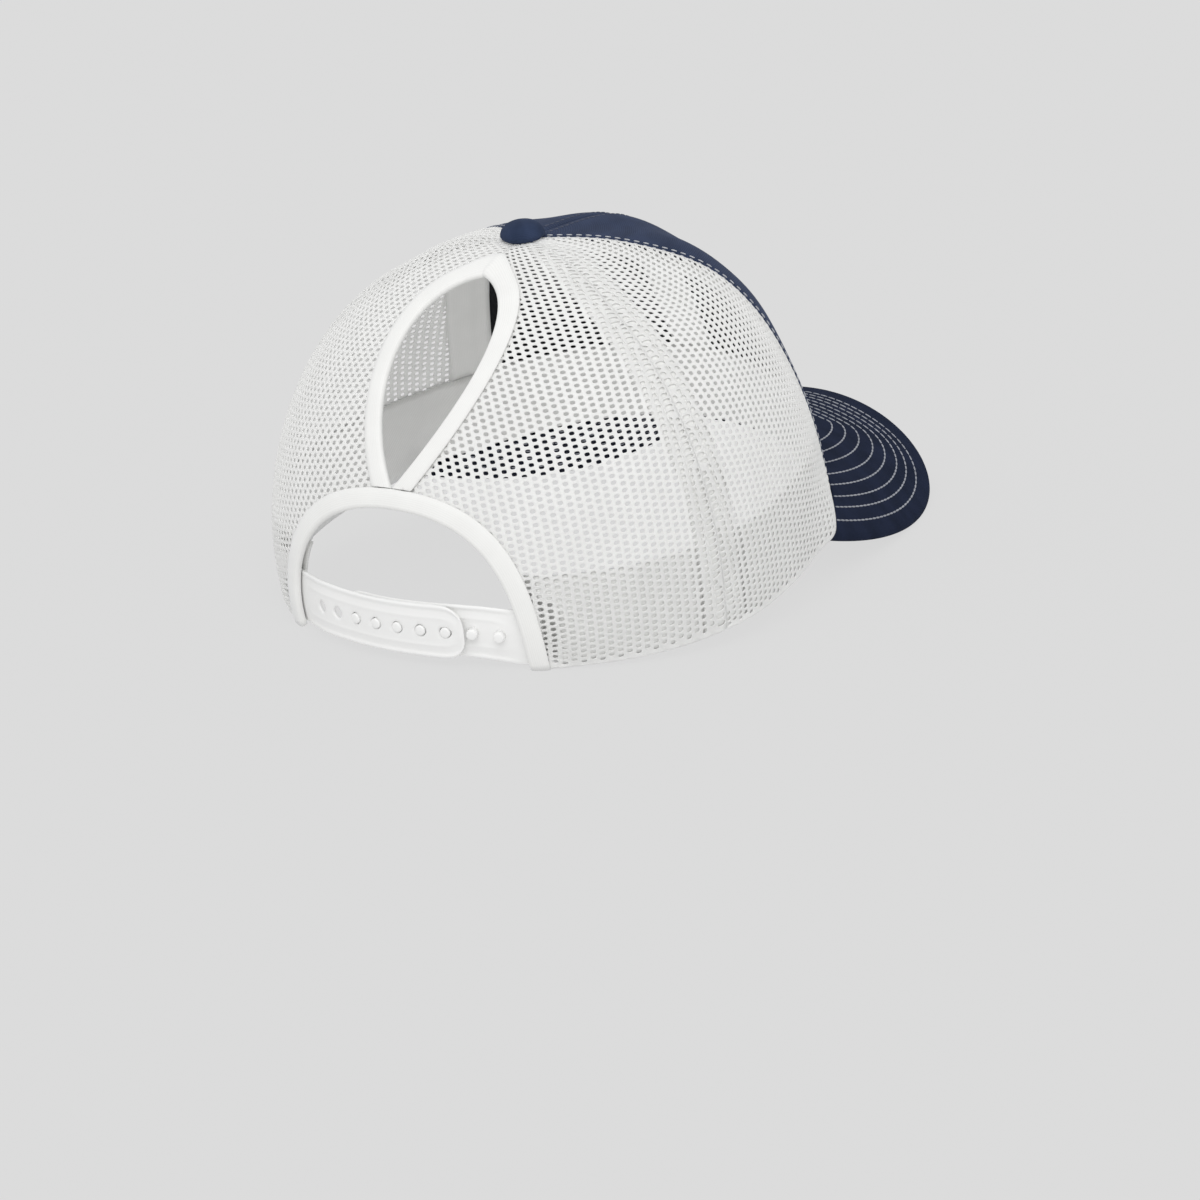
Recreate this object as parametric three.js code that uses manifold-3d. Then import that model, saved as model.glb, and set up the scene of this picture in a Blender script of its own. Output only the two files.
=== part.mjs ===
// A ponytail baseball cap in millimetres, standing as it rests on a table.
// +Z is up, the visor points along -Y and the wearer's right side is -X.
import * as THREE from 'three';
import { mergeVertices } from 'three/addons/utils/BufferGeometryUtils.js';
import Module from 'manifold-3d';

const wasm = await Module();
wasm.setup();

// Rim of the crown: an oval that lies on the table behind and lifts towards the visor
const rimFront = 101.5;
const rimBack = 83;
const rimSide = 91;
const rimSquareness = 1.97;
const rimLift = 33.2;
const rimLiftPower = 1.73;

// Dome over the rim: exponents of a rounded profile, higher is fuller
const crownHeight = 118;
const topBehindCentre = 4;
const frontSwell = 11.8;
const profile = { front: 2.22, side: 2.38, back: 1.62 };
const sideBulge = 0.034;
const frontTuck = -0.13;

// Seams: angle at the rim, and how far a seam leans back as it climbs
const frontSideSeamDeg = 52.4;
const sideRearSeamDeg = 107.1;
const seamLeanDeg = 7.7;

// Cloth walls, the clearance between pieces that touch and the room between stacked layers
const frontWall = 1.6;
const netWall = 1;
const tapeWall = 1;
const bandWall = 1.4;
const bindingPly = 1;
const clearance = 0.3;
const layerRoom = 0.6;

// Sweatband and seam tapes inside the crown
const bandHeight = 30.5;
const bandStart = 0.6;
const bandEndInset = 1.5;
const tapeHalfWidth = 8;
const tapeTopRadius = 11;
const tapeSpread = 0.42;

// Rear opening and ponytail opening, measured on the cloth up from the rim and across
const archHalfWidth = 46;
const archHeight = 48.7;
const archSquareness = 2.17;
const tearHalfWidth = 16.4;
const tearBottom = 55.7;
const tearBelowTop = 24.2;
const tearLowerTaper = 0.885;
const tearUpperTaper = 0.672;
const bindingWidth = 6.3;
const plyRoom = 0.6;

// Button on top, with its rivet through the crown
const buttonRadius = 7.5;
const buttonHeight = 6;
const rivetRadius = 1.4;
const rivetLength = 5;
const rivetHoleRadius = 2.3;

// Visor: its outer edge is a curve from each rim corner to the tip
const visorCornerDeg = 68;
const visorLength = 66;
const visorTipHeight = 27.3;
const visorSidePull = 130;
const visorSideTurnDeg = -5;
const visorTipPull = 50;
const visorTopWall = 1.8;
const visorUnderWall = 1;

// Snap strap: two plastic tapes between the feet of the arch
const strapWidth = 18;
const strapLift = 0.6;
const strapWall = 1.2;
const strapEdgeWidth = 1.8;
const strapEdgeHeight = 0.4;
const strapCorner = 7.5;
const strapTab = 7;
const strapSettle = 20;
const snapCount = 7;
const snapPitch = 8.6;
const snapLead = 16.4;
const snapShared = 5;
const snapEndMargin = 6.4;
const holeRadius = 2.3;
const pegRadius = 1.7;
const pegProud = 1.1;

// How finely the curves are divided
const panelRows = 12;
const panelColumns = 8;
const rearColumns = 7;
const rearTopRows = 3;
const archDivisions = 36;
const tearDivisions = 52;
const tearTipPoints = 3;
const tapeDivisions = 14;
const bandColumns = 56;
const buttonRings = 6;
const buttonSides = 24;
const visorColumns = 34;
const visorRows = 6;
const strapDivisions = 20;
const cornerDivisions = 4;
const barSides = 12;
const climbSteps = 160;
const searchSteps = 40;
const settleSteps = 12;

const navyTwill = new THREE.MeshStandardMaterial({ color: '#2f3a56', roughness: 0.92, metalness: 0 });
const whiteNet = new THREE.MeshStandardMaterial({ color: '#f1f1f0', roughness: 0.8, metalness: 0 });
const whiteTwill = new THREE.MeshStandardMaterial({ color: '#f0f0ee', roughness: 0.9, metalness: 0 });
const whitePlastic = new THREE.MeshStandardMaterial({ color: '#f2f2f2', roughness: 0.4, metalness: 0 });

const radians = THREE.MathUtils.degToRad;
const lerp = THREE.MathUtils.lerp;
const quarter = Math.PI / 2;
const sides = [{ side: 'right', sign: 1 }, { side: 'left', sign: -1 }];

// Evenly spaced shares from 0 to 1
function shares(count) {
  return Array.from({ length: count + 1 }, (_, i) => i / count);
}

// Rim of the crown at an angle: 0 is the front, positive turns to the wearer's right
function rimLiftAt(angle) {
  return rimLift * ((1 + Math.cos(angle)) / 2) ** rimLiftPower;
}

function rimPoint(angle) {
  const power = 2 / rimSquareness;
  const across = Math.sin(angle);
  const along = Math.cos(angle);
  const x = -rimSide * Math.sign(across) * Math.abs(across) ** power;
  const y = -(along > 0 ? rimFront : rimBack) * Math.sign(along) * Math.abs(along) ** power;
  return new THREE.Vector3(x, y, rimLiftAt(angle));
}

// Outer face of the crown: climb is 0 at the rim and a quarter turn at the button
function crownPoint(angle, climb) {
  const ahead = Math.cos(angle);
  const power = 2 / (profile.side
    + (profile.front - profile.side) * Math.max(ahead, 0)
    + (profile.back - profile.side) * Math.max(-ahead, 0));
  const bulge = sideBulge + frontTuck * ahead;
  const reach = Math.abs(Math.cos(climb)) ** power * (1 + bulge * Math.sin(2 * climb));
  const top = crownHeight + frontSwell * Math.max(ahead, 0) * Math.sin(2 * climb) ** 2;
  const rim = rimPoint(angle);
  return new THREE.Vector3(
    rim.x * reach,
    lerp(topBehindCentre, rim.y, reach),
    lerp(rim.z, top, Math.abs(Math.sin(climb)) ** power),
  );
}

// A point below the crown's outer face by a depth, or above it where depth is negative
function crownInside(angle, climb, depth) {
  const step = 1e-3;
  const held = THREE.MathUtils.clamp(climb, 2 * step, quarter - 2 * step);
  const around = crownPoint(angle + step, held).sub(crownPoint(angle - step, held));
  const upward = crownPoint(angle, held + step).sub(crownPoint(angle, held - step));
  const inward = around.cross(upward).normalize();
  return crownPoint(angle, climb).addScaledVector(inward, depth);
}

// Millimetres of cloth for each radian of angle
function girth(angle, climb) {
  const step = 0.25;
  return crownPoint(angle + step, climb).distanceTo(crownPoint(angle - step, climb)) / (2 * Math.sin(step));
}

// Climb at a length of cloth up from the rim
function climbAt(angle, length) {
  const step = quarter / climbSteps;
  let walked = 0;
  let last = crownPoint(angle, 0);
  for (let climb = step; climb <= quarter; climb += step) {
    const next = crownPoint(angle, climb);
    const piece = next.distanceTo(last);
    if (walked + piece >= length) return climb - step + step * (length - walked) / piece;
    walked += piece;
    last = next;
  }
  return quarter;
}

// Length of cloth from the rim to the button's axis
function clothLength(angle) {
  const points = shares(climbSteps).map((share) => crownPoint(angle, quarter * share));
  return points.slice(1).reduce((length, point, i) => length + point.distanceTo(points[i]), 0);
}

// Climb at a radius from the button's axis
function climbAtRadius(angle, radius) {
  const axis = new THREE.Vector3(0, topBehindCentre, 0);
  let low = quarter / 2;
  let high = quarter;
  for (let i = 0; i < searchSteps; i += 1) {
    const middle = (low + high) / 2;
    const point = crownPoint(angle, middle).setZ(0);
    if (point.distanceTo(axis) > radius) low = middle;
    else high = middle;
  }
  return low;
}

// Places on the back of the crown, by cloth lengths across and up from the rim's middle
function backClimb(height) {
  return climbAt(Math.PI, height);
}

function backAngle(across, climb) {
  return Math.PI - across / girth(Math.PI, climb);
}

function backPoint(across, height, depth) {
  const climb = backClimb(height);
  return crownInside(backAngle(across, climb), climb, depth);
}

// A mesh from points and triangles, turned so that its faces point out
function solid(name, points, triangles, material) {
  let volume = 0;
  for (let i = 0; i < triangles.length; i += 3) {
    const [a, b, c] = [0, 1, 2].map((k) => points[triangles[i + k]]);
    volume += a.dot(new THREE.Vector3().crossVectors(b, c));
  }
  const turned = volume < 0 ? [...triangles].reverse() : triangles;
  const geometry = new THREE.BufferGeometry();
  geometry.setAttribute('position', new THREE.Float32BufferAttribute(points.flatMap((p) => p.toArray()), 3));
  geometry.setIndex(turned);
  geometry.computeVertexNormals();
  const mesh = new THREE.Mesh(geometry, material);
  mesh.name = name;
  return mesh;
}

// A wall between two grids of points that match row by row
function wall(name, outer, inner, material) {
  const rows = outer.length;
  const columns = outer[0].length;
  const at = (layer, row, column) => (layer * rows + row) * columns + column;
  const triangles = [];
  const quad = (a, b, c, d) => triangles.push(a, b, c, a, c, d);
  for (let i = 0; i + 1 < rows; i += 1) {
    for (let j = 0; j + 1 < columns; j += 1) {
      quad(at(0, i, j), at(0, i, j + 1), at(0, i + 1, j + 1), at(0, i + 1, j));
      quad(at(1, i, j), at(1, i + 1, j), at(1, i + 1, j + 1), at(1, i, j + 1));
    }
  }
  const border = [];
  for (let j = 0; j + 1 < columns; j += 1) border.push([0, j]);
  for (let i = 0; i + 1 < rows; i += 1) border.push([i, columns - 1]);
  for (let j = columns - 1; j > 0; j -= 1) border.push([rows - 1, j]);
  for (let i = rows - 1; i > 0; i -= 1) border.push([i, 0]);
  border.forEach((here, k) => {
    const next = border[(k + 1) % border.length];
    quad(at(0, ...next), at(0, ...here), at(1, ...here), at(1, ...next));
  });
  return solid(name, [...outer.flat(), ...inner.flat()], triangles, material);
}

// A strip with a flat section carried from place to place
function sweep(name, sections, section, material) {
  const count = section.length;
  const triangles = [];
  for (let i = 0; i + 1 < sections.length; i += 1) {
    for (let j = 0; j < count; j += 1) {
      const [a, b] = [i * count + j, i * count + (j + 1) % count];
      triangles.push(a, b, b + count, a, b + count, a + count);
    }
  }
  const last = (sections.length - 1) * count;
  for (const [a, b, c] of THREE.ShapeUtils.triangulateShape(section, [])) {
    triangles.push(a, c, b, last + a, last + b, last + c);
  }
  return solid(name, sections.flat(), triangles, material);
}

// Seam lines of the crown as angles that change with the climb
const seamLean = radians(seamLeanDeg);
const seams = {
  frontCentre: () => 0,
  frontSide: (climb) => radians(frontSideSeamDeg) + seamLean * Math.sin(climb),
  sideRear: (climb) => radians(sideRearSeamDeg) + seamLean * Math.sin(climb),
};

// A panel between two edges: rows of climbs, each row shared out between the edges
function panel(name, sign, rows, columns, edges, thickness, material) {
  const grid = (depth) => rows.map((row) => shares(columns).map((share) => {
    const guess = row(lerp(edges.from(quarter / 2), edges.to(quarter / 2), share));
    const angle = lerp(edges.from(guess), edges.to(guess), share);
    return crownInside(sign * angle, row(angle), depth);
  }));
  return wall(name, grid(0), grid(thickness), material);
}

// Half of the clearance at a seam, as an angle
function seamMargin(angle, climb) {
  return clearance / 2 / girth(angle, climb);
}

function besideSeam(seam, direction) {
  return (climb) => seam(climb) + direction * seamMargin(seam(climb), climb);
}

function evenRows(count) {
  return shares(count).map((share) => (angle) => share * climbAtRadius(angle, rivetHoleRadius));
}

// Outlines of the two openings, from the right side over the top to the left
const archOutline = shares(archDivisions).map((share) => {
  const turn = Math.PI * share;
  const power = 2 / archSquareness;
  const across = Math.sign(Math.cos(turn)) * Math.abs(Math.cos(turn)) ** power;
  return new THREE.Vector2(archHalfWidth * across, archHeight * Math.sin(turn) ** power);
});

function tearShape(share) {
  const widest = tearLowerTaper / (tearLowerTaper + tearUpperTaper);
  const raw = (t) => t ** tearLowerTaper * (1 - t) ** tearUpperTaper;
  return raw(share) / raw(widest);
}

const tearTop = clothLength(Math.PI) - tearBelowTop;
const tearOutline = shares(tearDivisions).map((share) => {
  const turn = 2 * Math.PI * share;
  const climb = (1 - Math.cos(turn)) / 2;
  const side = share <= 0.5 ? 1 : -1;
  const across = Math.max(tearHalfWidth * tearShape(climb), share === 0.5 ? 0 : clearance / 2);
  return new THREE.Vector2(side * across, lerp(tearBottom, tearTop, climb));
});

// Direction away from an opening at each point of its outline
function outward(outline, index) {
  const before = outline[Math.max(index - 1, 0)];
  const after = outline[Math.min(index + 1, outline.length - 1)];
  const along = after.clone().sub(before).normalize();
  return new THREE.Vector2(along.y, -along.x);
}

function grown(outline, distance) {
  return outline.map((point, i) => point.clone().addScaledVector(outward(outline, i), distance));
}

// Half-width of a grown outline at a height, or half a seam's clearance outside it
function halfWidthAt(outline, height) {
  let widest = clearance / 2;
  for (let i = 0; i + 1 < outline.length; i += 1) {
    const [a, b] = [outline[i], outline[i + 1]];
    if ((a.y - height) * (b.y - height) > 0 || a.y === b.y) continue;
    widest = Math.max(widest, lerp(a.x, b.x, (height - a.y) / (b.y - a.y)));
  }
  return widest;
}

// Net edges stop inside the folded bindings
const cutInset = bindingPly + 2 * clearance;
const archCut = grown(archOutline, cutInset);
const tearCut = grown(tearOutline, cutInset);

function openingHalfWidth(height) {
  return Math.max(halfWidthAt(archCut, height), halfWidthAt(tearCut, height));
}

// Rows of a rear panel are even along its seam and meet the points of its cut edges
function heightsOn(outline) {
  const half = outline.slice(0, (outline.length + 1) / 2);
  return half.filter((point, i) => (half.length - 1 - i) % 2 === 0).map((point) => point.y);
}

const rearHeights = [...new Set([0, ...heightsOn(archCut), ...heightsOn(tearCut)])].sort((a, b) => a - b);

function rearPanel(name, sign) {
  const top = climbAtRadius(Math.PI, rivetHoleRadius);
  const ends = rearHeights.map((height) => ({ climb: backClimb(height), across: openingHalfWidth(height) }));
  const last = ends.at(-1).climb;
  for (const share of shares(rearTopRows).slice(1)) {
    ends.push({ climb: lerp(last, top, share), across: clearance / 2 });
  }
  const fromSeam = besideSeam(seams.sideRear, 1);
  const first = ends[1].climb / top;
  const onSeam = (i) => (i === 0 ? 0 : lerp(first, 1, (i - 1) / (ends.length - 2)));
  const grid = (depth) => ends.map((end, i) => shares(rearColumns).map((share) => {
    const climbed = lerp(onSeam(i), end.climb / top, share);
    const angle = lerp(fromSeam(climbed * top), backAngle(end.across, end.climb), share);
    const full = lerp(climbAtRadius(angle, rivetHoleRadius), top, share);
    return crownInside(sign * angle, climbed * full, depth);
  }));
  return wall(name, grid(0), grid(netWall), whiteNet);
}

// Folded cloth binding round an opening: an outer ply, the fold and an inner ply.
// Its feet are pressed flat on the table.
const plyTop = plyRoom + bindingPly;
const bindingSection = [
  [0, -plyTop], [bindingWidth, -plyTop], [bindingWidth, -plyRoom], [bindingPly, -plyRoom],
  [bindingPly, netWall + plyRoom], [bindingWidth, netWall + plyRoom],
  [bindingWidth, netWall + plyTop], [0, netWall + plyTop],
].map(([out, depth]) => new THREE.Vector2(out, depth));
const archEdge = grown(archOutline, bindingWidth + clearance);

// Height of the arch's outer edge at a place across the back
function archEdgeHeight(across) {
  const next = archEdge.findIndex((point) => point.x <= across);
  const [a, b] = [archEdge[next - 1], archEdge[next]];
  return lerp(a.y, b.y, (across - a.x) / (b.x - a.x));
}

function binding(name, outline, isTeardrop) {
  const sections = outline.map((point, i) => bindingSection.map((corner) => {
    const place = point.clone().addScaledVector(outward(outline, i), corner.x);
    if (isTeardrop) {
      place.y = Math.max(place.y, archEdgeHeight(place.x));
      if (i < tearTipPoints) place.x = Math.max(place.x, clearance / 2);
      if (i >= outline.length - tearTipPoints) place.x = Math.min(place.x, -clearance / 2);
    }
    const onCloth = backPoint(place.x, place.y, corner.y);
    return onCloth.setZ(Math.max(onCloth.z, 0));
  }));
  return sweep(name, sections, bindingSection, whiteTwill);
}

// Seam tape: a strip inside the crown that narrows towards the button
function tape(name, sign, seam, above) {
  const depth = above + layerRoom;
  const start = climbAt(seam(0), bandStart);
  const end = climbAtRadius(seam(quarter), tapeTopRadius);
  const grid = (below) => shares(tapeDivisions).map((share) => {
    const climb = lerp(start, end, share);
    const middle = seam(climb);
    const reach = girth(middle, climb);
    const half = Math.min(tapeHalfWidth, reach * tapeSpread - clearance);
    return [-1, 0, 1].map((edge) => crownInside(sign * middle + edge * half / reach, climb, below));
  });
  return wall(name, grid(depth), grid(depth + tapeWall), whiteTwill);
}

// Sweatband: from one foot of the arch round the front to the other, behind the tapes
const bandDepth = frontWall + tapeWall + 2 * layerRoom;
const strapHiddenDepth = netWall + plyTop + clearance;
const bandStepAside = strapHiddenDepth + strapWall + clearance - bandDepth;

function sweatband() {
  const heights = [bandStart, bandHeight / 2, bandHeight];
  const grid = (extra) => heights.map((height) => {
    const edgeClimb = backClimb(height);
    const end = backAngle(halfWidthAt(archOutline, height) + bandEndInset, edgeClimb);
    return shares(bandColumns).map((share) => {
      const angle = lerp(-end, end, share);
      const climb = climbAt(angle, height);
      const toFoot = (Math.PI - Math.abs(angle)) * girth(Math.PI, 0) - archHalfWidth - strapTab;
      const aside = 1 - THREE.MathUtils.smoothstep(toFoot, 0, strapTab);
      return crownInside(angle, climb, bandDepth + extra + bandStepAside * aside);
    });
  });
  return wall('sweatband', grid(0), grid(bandWall), whiteTwill);
}

// Cloth-covered button, tilted with the top of the crown, and its rivet
function button() {
  const ahead = crownPoint(0, climbAtRadius(0, buttonRadius));
  const behind = crownPoint(Math.PI, climbAtRadius(Math.PI, buttonRadius));
  const slope = (ahead.z - behind.z) / (behind.y - ahead.y);
  const drop = (radius) => Math.min(...shares(buttonSides).map((share) => {
    const angle = 2 * Math.PI * share;
    const point = crownPoint(angle, climbAtRadius(angle, radius));
    return crownHeight - point.z - (point.y - topBehindCentre) * slope;
  }));
  const under = [rivetHoleRadius, (rivetHoleRadius + buttonRadius) / 2, buttonRadius]
    .map((radius) => new THREE.Vector2(radius, clearance - drop(radius)));
  const edge = under.at(-1).y;
  const dome = shares(buttonRings).slice(1).map((share) => new THREE.Vector2(
    share === 1 ? 0 : buttonRadius * Math.cos(quarter * share),
    lerp(edge, buttonHeight, Math.sin(quarter * share)),
  ));
  const outline = [
    new THREE.Vector2(0, -rivetLength),
    new THREE.Vector2(rivetRadius, -rivetLength),
    new THREE.Vector2(rivetRadius, under[0].y),
    ...under,
    ...dome,
  ];
  const geometry = new THREE.LatheGeometry(outline, buttonSides);
  geometry.rotateX(quarter - Math.atan(slope));
  geometry.translate(0, topBehindCentre, crownHeight);
  const mesh = new THREE.Mesh(geometry, navyTwill);
  mesh.name = 'button';
  return mesh;
}

// Visor: rulings along Y from the rim to the outer edge
const visorWall = visorTopWall + clearance + visorUnderWall;
const visorCorner = rimPoint(-radians(visorCornerDeg));
const visorHalfWidth = visorCorner.x;

function visorEdgeCurve(sideHeight) {
  const turn = radians(visorSideTurnDeg);
  const tip = new THREE.Vector3(0, -(rimFront + visorLength), visorTipHeight);
  const side = new THREE.Vector3(Math.sin(turn), -Math.cos(turn), 0).multiplyScalar(visorSidePull);
  return new THREE.CubicBezierCurve3(
    visorCorner,
    visorCorner.clone().add(side).setZ(sideHeight),
    tip.clone().setX(visorTipPull),
    tip,
  );
}

function pointAtX(curve, x) {
  let low = 0;
  let high = 1;
  for (let i = 0; i < searchSteps; i += 1) {
    const middle = (low + high) / 2;
    if (curve.getPoint(middle).x > x) low = middle;
    else high = middle;
  }
  return curve.getPoint(low);
}

function visorRuling(curve, x) {
  const turn = Math.asin((Math.abs(x) / rimSide) ** (rimSquareness / 2));
  const from = rimPoint(-turn);
  const to = pointAtX(curve, Math.abs(x));
  from.y -= clearance;
  return [from, to].map((point) => point.setX(x));
}

function visorPoint(curve, x, share, height) {
  const at = (px) => {
    const [from, to] = visorRuling(curve, px);
    return from.lerp(to, share);
  };
  const step = visorHalfWidth / 400;
  const inner = THREE.MathUtils.clamp(x, -visorHalfWidth + 4 * step, visorHalfWidth - 4 * step);
  const [from, to] = visorRuling(curve, inner);
  const across = at(inner + step).sub(at(inner - step));
  const upward = across.cross(from.sub(to)).normalize();
  return at(x).addScaledVector(upward, height);
}

// The sides dip until the visor just touches the table
function settledVisorCurve() {
  let sideHeight = 0;
  for (let i = 0; i < settleSteps; i += 1) {
    const curve = visorEdgeCurve(sideHeight);
    const lowest = Math.min(...shares(60).map((s) => visorPoint(curve, visorHalfWidth * s, 1, -visorWall / 2).z));
    sideHeight -= 2 * lowest;
  }
  return visorEdgeCurve(sideHeight);
}

function visor(name, top, thickness, material) {
  const curve = settledVisorCurve();
  const columns = shares(visorColumns).map((share) => Math.sin(quarter * (2 * share - 1)) * visorHalfWidth * 0.999);
  const grid = (height) => columns.map((x) => shares(visorRows).map((share) => visorPoint(curve, x, share, height)));
  return wall(name, grid(top), grid(top - thickness), material);
}

// Snap strap pieces: how deep each lies, from its sewn end to its run across the opening
const strapOuterDepth = 0.2;
const strapInnerDepth = strapOuterDepth + strapWall + 2 * clearance + strapEdgeHeight;
const strapStart = archHalfWidth + strapTab;
const snapFirst = snapLead - archHalfWidth;
const holeStrapEnd = snapFirst + (snapCount - 1) * snapPitch + snapEndMargin;
const pegFirst = snapFirst + (snapCount - snapShared) * snapPitch;

function strapDepth(fromFoot, restDepth) {
  return lerp(strapHiddenDepth, restDepth, THREE.MathUtils.smoothstep(fromFoot, 0, strapSettle));
}

function strapBand(name, sign, end, restDepth) {
  const length = strapStart + end;
  const half = strapWidth / 2;
  const middle = strapLift + half;
  const lines = [-half, -half + strapEdgeWidth, -half + strapEdgeWidth + strapEdgeHeight]
    .flatMap((line) => [line, -line]).sort((a, b) => a - b);
  const rounding = shares(cornerDivisions).map((share) => length - strapCorner * (1 - Math.sin(quarter * share)));
  const straight = shares(strapDivisions).map((share) => share * (length - strapCorner)).slice(0, -1);
  const grid = (below) => [...straight, ...rounding].map((along) => {
    const into = Math.max(along - (length - strapCorner), 0);
    const shrink = (half - strapCorner + Math.sqrt(strapCorner ** 2 - into ** 2)) / half;
    return lines.map((line) => {
      const ridge = Math.abs(line) >= half - strapEdgeWidth ? strapEdgeHeight : 0;
      const depth = strapDepth(along - strapTab, restDepth);
      const raised = below === 0 ? ridge * THREE.MathUtils.smoothstep(along, strapTab, 2 * strapTab) : 0;
      return backPoint(sign * (strapStart - along), middle + line * shrink, depth + below - raised);
    });
  });
  return wall(name, grid(0), grid(strapWall), whitePlastic);
}

// A round bar along the crown's normal at a place on the strap, between two depths
function strapBar(across, radius, topDepth, bottomDepth) {
  const middle = strapLift + strapWidth / 2;
  const top = backPoint(across, middle, topDepth);
  const bottom = backPoint(across, middle, bottomDepth);
  const geometry = new THREE.CylinderGeometry(radius, radius, top.distanceTo(bottom), barSides);
  const direction = top.clone().sub(bottom).normalize();
  geometry.applyQuaternion(new THREE.Quaternion().setFromUnitVectors(new THREE.Vector3(0, 1, 0), direction));
  geometry.translate(...top.add(bottom).multiplyScalar(0.5).toArray());
  return geometry;
}

function toManifold(geometry) {
  const bare = geometry.clone();
  bare.deleteAttribute('normal');
  bare.deleteAttribute('uv');
  const merged = mergeVertices(bare, 1e-5);
  return new wasm.Manifold(new wasm.Mesh({
    numProp: 3,
    vertProperties: new Float32Array(merged.attributes.position.array),
    triVerts: new Uint32Array(merged.index.array),
  }));
}

function fromManifold(name, body, material) {
  const { vertProperties, triVerts } = body.getMesh();
  const geometry = new THREE.BufferGeometry();
  geometry.setAttribute('position', new THREE.BufferAttribute(vertProperties, 3));
  geometry.setIndex(new THREE.BufferAttribute(triVerts, 1));
  geometry.computeVertexNormals();
  const mesh = new THREE.Mesh(geometry, material);
  mesh.name = name;
  return mesh;
}

function strapWithHoles() {
  const band = strapBand('strap', -1, holeStrapEnd, strapOuterDepth);
  let body = toManifold(band.geometry);
  for (let i = 0; i < snapCount; i += 1) {
    const across = snapFirst + i * snapPitch;
    const depth = strapDepth(across + archHalfWidth, strapOuterDepth);
    const drill = strapBar(across, holeRadius, depth - strapWall, depth + 2 * strapWall);
    body = body.subtract(toManifold(drill));
  }
  return fromManifold('strap_with_holes', body, whitePlastic);
}

function strapWithPegs() {
  const end = -(pegFirst - snapEndMargin);
  const band = strapBand('strap', 1, end, strapInnerDepth);
  let body = toManifold(band.geometry);
  for (let i = 0; i < snapCount; i += 1) {
    const across = pegFirst + i * snapPitch;
    const depth = strapDepth(archHalfWidth - across, strapInnerDepth);
    const peg = strapBar(across, pegRadius, strapOuterDepth - pegProud, depth + strapWall / 2);
    body = body.add(toManifold(peg));
  }
  return fromManifold('strap_with_pegs', body, whitePlastic);
}

const cap = new THREE.Group();
for (const { side, sign } of sides) {
  const front = { from: besideSeam(seams.frontCentre, 1), to: besideSeam(seams.frontSide, -1) };
  const flank = { from: besideSeam(seams.frontSide, 1), to: besideSeam(seams.sideRear, -1) };
  cap.add(
    panel(`front_panel_${side}`, sign, evenRows(panelRows), panelColumns, front, frontWall, navyTwill),
    panel(`side_net_${side}`, sign, evenRows(panelRows), panelColumns, flank, netWall, whiteNet),
    rearPanel(`rear_net_${side}`, sign),
    tape(`seam_tape_front_side_${side}`, sign, seams.frontSide, frontWall),
    tape(`seam_tape_side_rear_${side}`, sign, seams.sideRear, netWall),
  );
}
cap.add(
  tape('seam_tape_front', 1, seams.frontCentre, frontWall),
  sweatband(),
  binding('arch_binding', archOutline, false),
  binding('teardrop_binding', tearOutline, true),
  button(),
  visor('visor_top', visorWall / 2, visorTopWall, navyTwill),
  visor('visor_underside', -visorWall / 2 + visorUnderWall, visorUnderWall, navyTwill),
  strapWithHoles(),
  strapWithPegs(),
);

// The origin is the middle of the footprint, on the table
const bounds = new THREE.Box3().setFromObject(cap);
const centre = bounds.getCenter(new THREE.Vector3());
cap.position.set(-centre.x, -centre.y, -bounds.min.z);

export default cap;
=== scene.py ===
"""Looks of a ponytail baseball cap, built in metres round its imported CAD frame.

Cloth, net and tapes are laid over one crown form, whose sizes are in millimetres.
"""

import logging
import math
from dataclasses import dataclass, field
from enum import Enum
from typing import Any, Callable, Iterable, Sequence

import bmesh
import bpy
import numpy as np
from mathutils import Matrix, Vector


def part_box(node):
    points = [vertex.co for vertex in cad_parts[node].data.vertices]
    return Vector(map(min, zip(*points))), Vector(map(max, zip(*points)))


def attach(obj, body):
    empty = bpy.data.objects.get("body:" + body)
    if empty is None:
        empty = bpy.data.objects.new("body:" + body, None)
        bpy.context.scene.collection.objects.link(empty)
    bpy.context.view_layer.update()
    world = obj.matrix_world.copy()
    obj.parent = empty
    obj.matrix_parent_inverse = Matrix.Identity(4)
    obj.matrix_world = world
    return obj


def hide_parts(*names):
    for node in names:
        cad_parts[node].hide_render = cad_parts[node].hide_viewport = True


Array = np.ndarray
Seam = Callable[[Array], Array]
BMesh = bmesh.types.BMesh
Piece = bpy.types.Object
Material = bpy.types.Material
Tree = bpy.types.NodeTree
Socket = bpy.types.NodeSocket

LOG = logging.getLogger("ponytail_cap")
MM = 0.001
QUARTER = math.pi / 2
SEAM_DIP = 0.4
SEAM_REACH = 1.5

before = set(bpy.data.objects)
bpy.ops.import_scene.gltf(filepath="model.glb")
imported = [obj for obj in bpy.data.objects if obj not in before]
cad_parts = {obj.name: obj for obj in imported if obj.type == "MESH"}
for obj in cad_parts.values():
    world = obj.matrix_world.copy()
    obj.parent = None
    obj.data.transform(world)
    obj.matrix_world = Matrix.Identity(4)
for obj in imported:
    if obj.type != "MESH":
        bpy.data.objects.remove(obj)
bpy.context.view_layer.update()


class Slot(Enum):
    """Material slots of the record."""

    NAVY = "navy_twill"
    NET = "white_net"
    TAPE = "white_tape"
    BAND = "white_band"
    PLASTIC = "white_plastic"


class Side(Enum):
    """Wearer's side of the cap, with the sign of its angles."""

    RIGHT = 1
    LEFT = -1

    @property
    def word(self) -> str:
        """The side's name in lower case."""
        return self.name.lower()


def smoothstep(value: Array, low: float, high: float) -> Array:
    """Smooth climb from 0 at low to 1 at high."""
    share = np.clip((np.asarray(value, float) - low) / (high - low), 0, 1)
    return share * share * (3 - 2 * share)


def mix(start: Any, end: Any, share: Any) -> Any:
    """Straight blend between two values."""
    return start + (end - start) * share


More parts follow.
